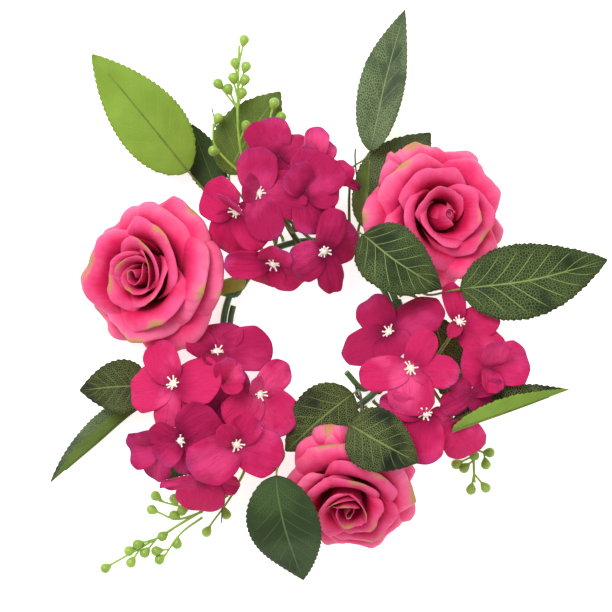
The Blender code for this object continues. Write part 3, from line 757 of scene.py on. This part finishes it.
# a floret's petal: its outline, the slope at the rim against that at the foot (degrees), the cupping across
# one that lies and one that stands, and the height of its ripple (mm)
floretPetal = {
    "cornerCut": 0.26, "cornerPower": 2.6, "widening": 0.52, "steps": 16, "cloth": 0.4,
    "rim": (-38, 4), "cup": (-0.35, 0.5), "standingCup": (0.4, 1.0), "ripple": 1.5,
}


def pressed(points):
    # petals lie on the table instead of sinking into it, and the tallest are pressed down a little
    height = points[:, 2] / mm
    over = np.maximum(0, height - dome["pressedAbove"]) / dome["pressedRoom"]
    height = np.minimum(height, dome["pressedAbove"]) + dome["pressedRoom"] * np.tanh(over)
    points[:, 2] = np.maximum(height, dome["lowest"]) * mm
    return points


def makeFloret(piece, middle, floret, cloth, seed):
    x, y, layer = floret["at"]
    ringRadius = (dome["radius"] + dome["layerStep"] * layer) * mm
    spot = place(x, y)
    flat = Vector((spot.x - middle.x, spot.y - middle.y, 0))
    out = Vector((flat.x, flat.y, math.sqrt(ringRadius**2 - flat.length_squared))).normalized()
    centre = middle + out * ringRadius
    axes = stackAxes((out + Vector((0, 0, dome["upright"]))).normalized())
    chance = random.Random(seed)
    petals = []
    for i, (angle, length, width, lifted) in enumerate(floret["petals"]):
        turn = math.radians(angle)
        footSlope = 4 + 1.3 * lifted + chance.uniform(-5, 5)
        rimSlope = footSlope + chance.uniform(*floretPetal["rim"])
        cup = chance.uniform(*floretPetal["standingCup" if lifted > 15 else "cup"]) / width
        roll = math.radians(chance.uniform(-12, 12))
        waves, phase = chance.uniform(1.2, 2.4), chance.uniform(0, 6.28)
        ripple = floretPetal["ripple"] * chance.uniform(0.4, 1.1)
        crease = chance.choice((0.0, 0.0, 0.9, -0.9))

        def shape(u, v):
            reach = petalReach(u, length, floretPetal)
            along, lift = np.full_like(u, 0.2), np.full_like(u, 0.35 * (i % 2))
            steps = floretPetal["steps"]
            for k in range(steps):
                t = v * (k + 0.5) / steps
                slope = np.radians(footSlope + (rimSlope - footSlope) * t**1.3)
                along += np.cos(slope) * v * reach / steps
                lift += np.sin(slope) * v * reach / steps
            half = petalHalfWidth(v, width, floretPetal)
            bend = cup * half * u * 2
            across = u * half * np.cos(bend * 0.6)
            lift += cup * (u * half) ** 2 + across * np.tan(roll) * v
            lift += ripple * np.sin(waves * math.pi * u + phase) * v**3
            lift += 0.22 * np.cos(u * 15) * np.sin(math.pi * v) + crease * (1 - np.abs(u)) ** 2 * v
            points = np.stack((along * math.cos(turn) - across * math.sin(turn),
                               along * math.sin(turn) + across * math.cos(turn), lift), 1)
            return pressed(moved(points, axes, centre))

        petals.append(clothGrid(16, 14, shape))
    blossom = joinSheets(petals, piece)
    thicken(blossom, [cloth], floretPetal["cloth"], 1)
    corners = []
    for angle, length, width, _ in floret["petals"]:
        turn = math.radians(angle)
        for along, across in ((0, 0), (length, 0), (0.8 * length, width / 2), (0.8 * length, -width / 2)):
            corners.append((along * math.cos(turn) - across * math.sin(turn),
                            along * math.sin(turn) + across * math.cos(turn)))
    cut = np.ptp(corners, axis=0) * mm
    area = sum(cutArea(width, length, floretPetal) for _, length, width, _ in floret["petals"])
    min(area, float(cut.prod()))
    return blossom, centre, out


stamen = {"knob": 2.1, "prongs": 8, "length": 3.9, "thick": 0.36}


def makeStamens(name, centre, out, seed, cream):
    # a knobbly eye with eight short threads, each ending in a small head
    chance = random.Random(seed)
    axes = stackAxes(out)
    bpy.ops.object.select_all(action="DESELECT")
    bpy.ops.mesh.primitive_ico_sphere_add(subdivisions=3, radius=stamen["knob"] * mm)
    knob = bpy.context.object
    for vertex in knob.data.vertices:
        way = vertex.co.normalized()
        bumps = math.sin(way.x * 8) * math.sin(way.y * 8 + 1) * math.sin(way.z * 8 + 2)
        vertex.co = vertex.co * (1 + 0.5 * bumps)
        vertex.co.z = vertex.co.z * 0.75 + 0.6 * mm
    knob.data.transform(Matrix.Translation(centre) @ axes.to_4x4())
    knob.data.materials.append(cream)
    routes = []
    for i in range(stamen["prongs"]):
        turn = 2 * math.pi * (i + chance.uniform(-0.25, 0.25)) / stamen["prongs"] + seed
        reach = stamen["length"] * chance.uniform(0.8, 1.15)
        way = Vector((math.cos(turn), math.sin(turn), chance.uniform(0.35, 0.9)))
        low = Vector((way.x * 0.6, way.y * 0.6, 0.4))
        tip = Vector((way.x * reach, way.y * reach, 0.4 + way.z * reach * 0.6))
        routes.append([centre + axes @ (low.lerp(tip, step / 4) * mm) for step in range(5)])
    threads = addWire(name, routes, stamen["thick"], cream, [(0.8, 1.35)] * len(routes), 2)
    piece = joinSheets([threads, knob], name)
    piece.data.shade_smooth()
    settleLoose(piece, "root")


def makeHydrangea(name, head, cloths, cream, green, coated):
    # florets round a hub on the stem, each on a thin branch, and bare twigs where a floret is missing
    middle = place(*head["middle"], dome["sink"])
    hub = place(*head["hub"])
    up = Vector((0, 0, 1))
    routes = [smoothPath(stemRoute(head["run"], head.get("tail"), hub, up, 0), 6)]
    thin = []
    for seed, (letter, floret) in enumerate({**head["florets"], **head["loose"]}.items(), head["seed"] + 1):
        pieceName = f"{name}_floret_{letter}_petals"
        blossom, centre, out = makeFloret(pieceName, middle, floret, cloths[floret["cloth"]], seed)
        if letter in head["florets"]:
            settle(blossom, f"{name}_floret_{letter}")
        else:
            settleLoose(blossom, "root")
        if floret.get("eye", True):
            makeStamens(f"{name}_floret_{letter}_stamens", centre, out, seed, cream)
        low = hub - up * 2 * mm
        tip = centre - out * 0.4 * mm
        bend = low.lerp(tip, 0.5) + up * 3 * mm
        thin.append(smoothPath([low, bend, tip - out * 2 * mm, tip], 6))
    thin += [smoothPath([place(*point) for point in twig], 6) for twig in head.get("twigs", [])]
    stalks = addWire(f"{name}_stalks", thin, dome["branch"], green, [(1.0, 0.85)] * len(thin), 3)
    trunk = addWire(f"{name}_trunk", routes, stemRun["wire"] / 2, coated)
    piece = joinSheets([stalks, trunk], f"{name}_stalks")
    settle(piece, f"{name}_stem")


# Leaves. Each has the angle of its root on the hoop, the points of its stalk, the points of its midrib
# from base to tip (mm about the hoop), the way its face looks at base and tip where that isn't straight up,
# its width, how the two halves are folded up from flat (degrees), and which of its sides looks up.

leaves = {
    "leaf_1": {
        "root": 136, "stalk": [(-48, 57, 0), (-59, 76, 6)],
        "blade": [(-67.5, 86.4, 11), (-93, 118, 19), (-119.3, 149.6, 17)],
        "face": [(0.1, 0.1, 1), (0.0, 0.0, 1)], "width": 38, "fold": (8, 8), "up": "under",
    },
    "leaf_2": {
        "root": 207, "stalk": [(-60, -31, -2), (-78, -38, -1)],
        "blade": [(-95.6, -43.2, 4), (-119, -63, 10), (-142.6, -83.2, 9)],
        "face": [(-0.3, 0.4, 0.85), (-0.4, 0.5, 0.75)], "width": 22, "fold": (150, 10),
        "halves": (0.6, 1.2), "up": "greyed",
    },
    "leaf_3": {
        "root": 113, "stalk": [(-28, 60, 3), (-40, 75, 5)],
        "blade": [(-45, 85, 7), (-33, 108, 10), (-17.3, 129.6, 13)],
        "width": 36, "fold": (6, 6), "up": "olive",
    },
    "leaf_4": {
        "root": 67, "stalk": [(20.5, 60, 6), (20.5, 75, 9), (22, 88, 10)],
        "blade": [(31.5, 98, 10), (40, 135, 17), (50.2, 172.8, 26)],
        "face": [(-0.9, 0.1, 0.75), (-0.8, 0.1, 0.8)], "width": 36, "fold": (10, 6), "up": "pale",
    },
    "leaf_5": {
        "root": 62, "stalk": [(26, 57, 1)],
        "blade": [(31, 66, 1), (46, 87, 3), (64.8, 107.5, 9)],
        "width": 36, "fold": (4, 4), "up": "pale",
    },
    "leaf_6": {
        "root": 51, "stalk": [(31, 49, 6)],
        "blade": [(29.5, 55, 12), (29, 72, 24), (31, 91, 36)],
        "face": [(-1, 0.1, 0.5), (-1, 0.1, 0.5)], "width": 22, "fold": (25, 20), "up": "olive",
    },
    "leaf_7": {
        "root": 57, "stalk": [(27, 48, 14), (25, 51, 28)],
        "blade": [(27, 51, 45), (44.5, 36.5, 58), (68.6, 22.1, 45)],
        "width": 35, "fold": (4, 4), "up": "veined",
    },
    "leaf_8": {
        "root": 27, "stalk": [(55, 24, 8), (63, 19, 26)],
        "blade": [(79.4, 22.1, 36), (118, 27, 37), (158.8, 37.8, 30)],
        "face": [(0, 0.1, 1), (0, 0, 1)], "width": 41, "fold": (5, 5), "up": "veined",
    },
    "leaf_9": {
        "root": 21, "stalk": [(57, 18, -1), (63, 13, 0)],
        "blade": [(67, 6, 1), (73, -16, 3), (79, -43, 2)],
        "width": 26, "fold": (0, 0), "up": "top",
    },
    "leaf_10": {
        "root": 311, "stalk": [(48, -50, 1), (62, -60, 12), (69, -59, 28)],
        "blade": [(75, -54, 42), (106, -43, 42), (137.7, -31.9, 34)],
        "face": [(0.0, -0.35, 0.94), (0.1, -0.35, 0.94)], "width": 26, "fold": (25, -160),
        "halves": (0.85, 1.15), "up": "under",
    },
    "leaf_11": {
        "root": 299, "stalk": [(27, -44, 12), (26, -34, 25)],
        "blade": [(22, -34, 34), (3, -49, 37), (-14, -65, 31)],
        "width": 34, "fold": (3, 3), "up": "top",
    },
    "leaf_12": {
        "root": 293, "stalk": [(22, -50, 12), (24, -53, 34)],
        "blade": [(20, -50, 48), (36, -59, 57), (56, -70, 50)],
        "width": 34, "fold": (3, 3), "up": "top",
    },
    "leaf_13": {
        "root": 242, "stalk": [(-22, -55, 14), (-15, -66, 36)],
        "blade": [(-19, -77, 49), (-15, -103, 45), (-5, -135.5, 18)],
        "face": [(-0.2, 0.2, 1), (-0.2, -0.3, 1)], "width": 40, "fold": (3, 3), "up": "dark",
    },
    "leaf_14": {
        "root": 201, "stalk": [(-62, -20, 1), (-76, -27, 7)],
        "blade": [(-88, -30, 12), (-107, -31, 15), (-126.4, -32.9, 13)],
        "face": [(0, 0.2, 1), (0, 0.1, 1)], "width": 30, "fold": (8, 8), "up": "top",
    },
}

# leaves that are only seen in part, between and under the others
backLeaves = {
    "leaf_behind": {
        "root": 122, "stalk": [(-40, 62, 0), (-48, 70, 0)],
        "blade": [(-52, 76, -2), (-59, 94, -3), (-66, 113, -3)],
        "width": 21, "fold": (4, 4), "up": "dark",
    },
    "leaf_below": {
        "root": 222, "stalk": [(-46, -44, -1), (-54, -54, -1)],
        "blade": [(-60, -60, 1), (-70, -71, 1), (-80, -82, 1)],
        "width": 18, "fold": (2, 2), "up": "top",
    },
}

leafCut = {
    "toothPitch": 3.0, "toothDepth": 0.95, "rowsPerTooth": 4, "sideVeins": 8, "veinSweep": 0.26,
    "veinBend": 0.8, "quilt": 0.3, "cloth": 0.35,
}
leafRib = {"radius": 1.05, "endShare": 0.28, "reach": 0.85, "below": 0.75, "belowUnderside": -0.35}


def bladeHalf(share, width):
    # a rose leaf's half width from base (0) to tip (1)
    return width / 2 * np.maximum(0.03, np.sin(np.pi * share**0.72) ** 0.8)


def makeBlade(name, leaf, cloths):
    stalk = [onRing(leaf["root"], hoopRadius / mm + hoopWire / mm + 0.8, wireMiddle)]
    stalk.append(onRing(leaf["root"], hoopRadius / mm + hoopWire / mm + 3.8, wireMiddle))
    stalk += [place(*point) for point in leaf["stalk"]]
    steps = 12
    path = smoothPath([*stalk, *[place(*point) for point in leaf["blade"]]], steps)
    blade = np.array(path[len(stalk) * steps:])
    gaps = np.linalg.norm(np.diff(blade, axis=0), axis=1)
    shares = np.concatenate(([0], np.cumsum(gaps))) / gaps.sum()
    length = gaps.sum() / mm
    teeth = round(length / leafCut["toothPitch"])
    ways = np.gradient(blade, axis=0)
    ways /= np.linalg.norm(ways, axis=1)[:, None]
    looks = [np.array(Vector(face).normalized()) for face in leaf.get("face", [(0, 0, 1)] * 2)]
    chance = random.Random(name)
    phase = chance.uniform(0, 6.28)
    wavy = chance.uniform(0.5, 1.1)

    def shape(u, v):
        spot = np.stack([np.interp(v, shares, blade[:, axis]) for axis in range(3)], 1)
        way = np.stack([np.interp(v, shares, ways[:, axis]) for axis in range(3)], 1)
        face = looks[0] * (1 - v[:, None]) + looks[1] * v[:, None]
        normal = face - way * (face * way).sum(1)[:, None]
        normal /= np.linalg.norm(normal, axis=1)[:, None]
        side = np.cross(way, normal)
        narrow, wide = leaf.get("halves", (1.0, 1.0))
        half = bladeHalf(v, leaf["width"]) * np.where(u < 0, narrow, wide)
        tooth = (v * teeth) % 1.0
        edge = np.clip((np.abs(u) - 0.84) / 0.16, 0, 1)
        half = half + leafCut["toothDepth"] * (tooth - 0.5) * edge * np.minimum(1, half / 5)
        fold = np.radians(np.where(u < 0, leaf["fold"][0], leaf["fold"][1])) * (1 - 0.15 * v)
        across = u * half * np.cos(fold)
        lift = np.abs(u) * half * np.sin(fold)
        order = (v - leafCut["veinSweep"] * np.abs(u) ** leafCut["veinBend"]) * leafCut["sideVeins"]
        pillow = np.abs(np.sin(math.pi * (order - 0.5))) * np.sin(math.pi * np.abs(u)) * np.sin(math.pi * v)
        lift = lift + leafCut["quilt"] * pillow + wavy * np.sin(9 * v + phase + 2 * u) * np.abs(u) ** 2 * 0.8
        return spot + (side * across[:, None] + normal * lift[:, None]) * mm

    blade3d = clothGrid(16, teeth * leafCut["rowsPerTooth"], shape)
    blade3d.name = f"{name}_blade"
    thicken(blade3d, cloths, leafCut["cloth"], 0)
    return blade3d, path, len(stalk) * steps, length


def makeLeaf(name, leaf, cloths, green):
    blade, path, first, length = makeBlade(name, leaf, cloths[leaf["up"]])
    if name in leaves:
        settle(blade, name)
    else:
        settleLoose(blade, "root")
    looks = Vector(leaf.get("face", [(0, 0, 1)])[0]).normalized()
    last = first + int((len(path) - first) * leafRib["reach"])
    below = leafRib["belowUnderside" if leaf["up"] == "under" else "below"]
    route = path[:first] + [point - looks * below * mm for point in path[first:last]]
    stalk = addWire(f"{name}_rib", [route], leafRib["radius"], green, [(1.0, leafRib["endShare"])], 4)
    settleLoose(stalk, bodyOf.get(name, "root"))


# Sprays of berries: stems with their thickness, and berries at the ends of short shoots

sprays = {
    "back_spray": {
        "root": 108, "stem": [(-24, 64, 9), (-35, 84, 15), (-40, 110, 21), (-39.4, 154, 22)],
        "shoots": [
            [(-39.5, 86, 15), (-47, 93, 17), (-53, 101, 18), (-53.5, 112, 19)],
            [(-36, 84, 15), (-28, 100, 18), (-22, 116, 20)],
        ],
        "berries": [
            (-36.7, 157, 22), (-41.6, 144.7, 22), (-35.6, 142.6, 23), (-42.7, 136.6, 22), (-36.2, 135.5, 23),
            (-37.8, 128.5, 22), (-50.8, 133.4, 22), (-45.4, 130.7, 22), (-50.8, 115, 19), (-53.5, 97.2, 18),
            (-20.5, 123.1, 20), (-16.7, 115.6, 19), (-35.6, 110.7, 22),
        ],
    },
    "left_spray": {
        "root": 234, "stem": [(-34, -62, 0), (-42, -86, 1), (-76, -109, 2), (-112, -130, 1)],
        "shoots": [
            [(-46, -91, 1), (-58, -98, 1), (-72, -97, 1), (-84, -94, 1)],
            [(-60, -100, 2), (-74, -104, 2), (-86, -99.5, 2)],
            [(-42, -88, 1), (-48, -97, 1), (-57, -109, 1)],
            [(-60, -103, 2), (-72, -112, 2), (-82, -126, 1)],
        ],
        "berries": [
            (-113.4, -131, 1), (-100.4, -121.5, 1), (-95.6, -117.7, 3), (-91.8, -122.6, 1), (-99.4, -128, 1),
            (-85.3, -121.5, 2), (-83.7, -126.4, 1), (-82.1, -113.4, 2), (-74, -117.7, 1), (-57.8, -111.2, 1),
            (-47, -101.5, 1), (-85.9, -91.3, 1), (-88, -98.8, 2), (-75.6, -92.9, 1), (-75.6, -102, 2),
            (-71.3, -99.4, 2),
        ],
    },
    "right_spray": {
        "root": 305, "stem": [(44, -57, 0), (72, -62, 1), (87, -66, 1), (89.5, -84, 0)],
        "shoots": [[(84, -65, 1), (90, -66, 1), (96, -68, 1)], [(78, -63, 1), (84, -58, 2), (89, -51, 3)]],
        "berries": [
            (87.5, -88, 0), (95.6, -86.9, 0), (92.9, -61.6, 2), (97.7, -67.5, 1), (95.6, -74, 1),
            (79.4, -74, 0), (83.7, -76.1, 0), (89.1, -69.1, 2), (89.6, -49.1, 3),
        ],
    },
}

berryForm = {"radius": 2.9, "length": 8.2, "segments": 14, "rings": 9, "narrowing": 0.55}
sprayForm = {"stem": 0.95, "spine": (1.0, 0.7), "shoot": (0.72, 0.55), "twig": (0.55, 0.6)}   # shares of stem


def makeBerry(spot, way, green):
    # a drop with its narrow end where the shoot comes in
    bpy.ops.object.select_all(action="DESELECT")
    bpy.ops.mesh.primitive_uv_sphere_add(
        segments=berryForm["segments"], ring_count=berryForm["rings"], radius=berryForm["radius"] * mm,
    )
    drop = bpy.context.object
    stretch = berryForm["length"] / berryForm["radius"] / 2
    for vertex in drop.data.vertices:
        share = vertex.co.z / (berryForm["radius"] * mm)
        narrow = 1 - berryForm["narrowing"] * max(0.0, -share) ** 1.4
        vertex.co.x *= narrow
        vertex.co.y *= narrow
        vertex.co.z *= stretch if share < 0 else 1.0
    drop.data.transform(Matrix.Translation(spot) @ stackAxes(way).to_4x4())
    drop.data.materials.append(green)
    return drop


def makeSpray(name, spray, green):
    reach = hoopRadius / mm + hoopWire / mm + 0.4
    root = [onRing(spray["root"], reach, wireMiddle), onRing(spray["root"], reach + 3, wireMiddle)]
    routes = [smoothPath([*root, *[place(*point) for point in spray["stem"]]], 8)]
    routes += [smoothPath([place(*point) for point in shoot], 8) for shoot in spray["shoots"]]
    spine = [point for route in routes for point in route]
    tapers = [sprayForm["spine"]] + [sprayForm["shoot"]] * len(spray["shoots"])
    drops = []
    for number, berry in enumerate(spray["berries"]):
        spot = place(*berry)
        near = min(range(len(spine)), key=lambda i: (spine[i] - spot).length)
        back = spine[max(0, near - 2)]
        way = (spot - back).normalized()
        if way.z > 0.8:
            way = Vector((way.x, way.y, 0.3)).normalized()
        drops.append(makeBerry(spot, way, green))
        bend = back.lerp(spot, 0.5) - way * 0.5 * mm
        routes.append(smoothPath([back, bend, spot - way * 3.5 * mm], 4))
        tapers.append(sprayForm["twig"])
    stems = addWire(f"{name}_stems", routes, sprayForm["stem"], green, tapers, 3)
    settle(stems, name)
    berries = joinSheets(drops, f"{name}_berries")
    berries.data.shade_smooth()
    settleLoose(berries, bodyOf[name])


# Small things between the flowers: loose lengths of binding wire (mm about the hoop, and their radius), and
# the flat rounded end of a petiole

wireEnds = [
    ([(23.8, 99, 8), (23.6, 94, 9), (24.3, 86, 8), (27, 70, 2), (26, 56, -3)], 0.45),
    ([(-54.9, 122, 2), (-52.8, 112, 0), (-47, 86, -3), (-34, 52, -4)], 0.3),
    ([(-40, -40, -4), (-46, -74, -1), (-48.8, -93, 3), (-49.6, -106, 3)], 0.3),
    ([(23.8, -30, 6), (25.0, -35, 8), (27.6, -41, 7), (28.4, -47, 8)], 0.55),
    ([(24.6, -31, 8), (24.2, -36, 6), (28.0, -40, 9), (27.8, -46, 6)], 0.45),
]
petioleEnd = {"route": [(-52, 22, 5), (-46, 24, 7), (-36, 26.5, 8)], "radius": 4.2}


def makeWireEnds(dark):
    routes = [smoothPath([place(*point) for point in points], 6) for points, _ in wireEnds]
    tapers = [(radius / 0.5, radius / 0.5) for _, radius in wireEnds]
    piece = addWire("wire_ends", routes, 0.5, dark, tapers, 3)
    settleLoose(piece, "root")


def makePetioleEnd(green):
    path = smoothPath([place(*point) for point in petioleEnd["route"]], 8)
    spots = np.array(path)
    shares = np.linspace(0, 1, len(path))

    def shape(u, v):
        turn = u * math.pi
        rounding = np.sqrt(np.maximum(0.0, 1 - np.clip((v - 0.8) / 0.2, 0, 1) ** 2))
        spot = np.stack([np.interp(v, shares, spots[:, axis]) for axis in range(3)], 1)
        spot[:, 1] += petioleEnd["radius"] * rounding * np.cos(turn) * mm
        spot[:, 2] += 0.4 * petioleEnd["radius"] * rounding * np.sin(turn) * mm
        return spot

    piece = clothGrid(24, 30, shape)
    piece.name = "petiole_end"
    closeSeams(piece, 60)
    piece.data.materials.append(green)
    piece.data.shade_smooth()
    settleLoose(piece, "root")


# Making

setCamera()
makeFloor()
setSky()
for name, (power, size, spot) in studio["lamps"].items():
    addLight(name, power, size, spot)
bpy.context.scene.view_settings.view_transform = "Standard"
print("studio is set")

# heart, middle, rim and tip colours: the dark heart is painted shade at each petal's foot and the pale rim is
# painted light
roseCloth = makeRoseCloth("roseSatin", "#B00A40", "#E02C66", "#F0719A", "#A88E46")
# the inner and heart copies are darker still: painted shade on the rings that lie deeper in the rose
roseInnerShadedCloth = makeRoseCloth("roseInnerShadedSatin", "#A0083A", "#CC1850", "#E8588A", "#A88E46")
roseHeartShadedCloth = makeRoseCloth("roseHeartShadedSatin", "#960636", "#C2144C", "#DE4C7C", "#A88E46")
# heart, middle, rim and edge colours: the heart is painted shade at each petal's foot, and the rim is partly
# painted sheen
hydrangeaCloths = [
    makeHydrangeaCloth("hydrangeaCrimson", "#900A40", "#C21C58", "#DC3C78", "#9C3480"),
    makeHydrangeaCloth("hydrangeaRaspberry", "#7C083A", "#AC1850", "#CA326E", "#923078"),
    makeHydrangeaCloth("hydrangeaRose", "#9C0C44", "#CC2460", "#E84C84", "#AC3C84"),
]
leafTop = makeLeafCloth("leafPrinted", "#141D0C", "#202D15", "#8C9A58", 0.62, 0.7)
leafVeined = makeLeafCloth("leafVeined", "#1D2A12", "#2A3A1B", "#8CA058", 0.32, 0.95)
leafDark = makeLeafCloth("leafDeepGreen", "#2C3C1E", "#374A28", "#5E7A42", 0.3, 0.45)
leafUnder = makeLeafCloth("leafUnderside", "#75912F", "#82A03A", "#93B04C", 0.15, 0.4, 0.7)
leafOlive = makeLeafCloth("leafOlive", "#52662A", "#627836", "#86A048", 0.6, 0.6)
# a greyer green ground with paler veins than the other leaf prints
leafPale = makeLeafCloth("leafGreyGreen", "#34442C", "#46583A", "#8CA06C", 0.75, 0.5)
stemGreen = makeMouldedGreen("stemPolythene", "#7C8630", "#5C6A26", 0.5)
petioleOlive = makeMouldedGreen("petiolePolythene", "#94942A", "#7A7C22", 0.45)
wireGreen = makeMouldedGreen("wireCoating", "#4E7A3E", "#3A6234", 0.42)
darkWire = makeMouldedGreen("bindingWire", "#2C332A", "#20261F", 0.5)
berryGreen = makeMouldedGreen("berryPolythene", "#9CBC48", "#7EA034", 0.38, 0.2)
cream = makeMouldedGreen("stamenCream", "#FFF8EE", "#F6E9D6", 0.6)
tape = makeTapePaper("floralTape")
print("materials are mixed")

makeHoop(wireGreen)
for number, angle in enumerate(binding["angles"], 1):
    makeBinding(number, angle, tape)
print("hoop and bindings are made")

# the rings deeper in the rose take the darker copies, which carry painted shade
roseCloths = {"outer": roseCloth, "inner": roseInnerShadedCloth, "heart": roseHeartShadedCloth}
for name, rose in roses.items():
    way = leaning(*rose["lean"])
    foot = place(*rose["foot"])
    route = smoothPath(stemRoute(rose["run"], None, foot, way, stemRun["peg"]), 6)
    stem = addWire(f"{name}_wire", [route], stemRun["wire"] / 2, wireGreen)
    settle(stem, f"{name}_stem")
    makeCalyx(name, rose, stemGreen)
    for ringName in roseRings:
        makeRosePetals(name, rose, ringName, roseCloths[ringName.split("_")[0]])
print("roses are made")

for name, head in hydrangeas.items():
    makeHydrangea(name, head, hydrangeaCloths, cream, stemGreen, wireGreen)
print("hydrangeas are made")

leafSides = {
    "top": [leafTop, leafUnder], "under": [leafUnder, leafTop], "dark": [leafDark, leafUnder],
    "olive": [leafOlive, leafUnder], "pale": [leafPale, leafUnder],
    "veined": [leafVeined, leafUnder], "greyed": [leafPale, leafOlive],
}
for name, leaf in {**leaves, **backLeaves}.items():
    makeLeaf(name, leaf, leafSides, stemGreen)
print("leaves are made")

for name, spray in sprays.items():
    makeSpray(name, spray, berryGreen)
print("sprays are made")

makeWireEnds(darkWire)
makePetioleEnd(petioleOlive)
print("loose ends are made")
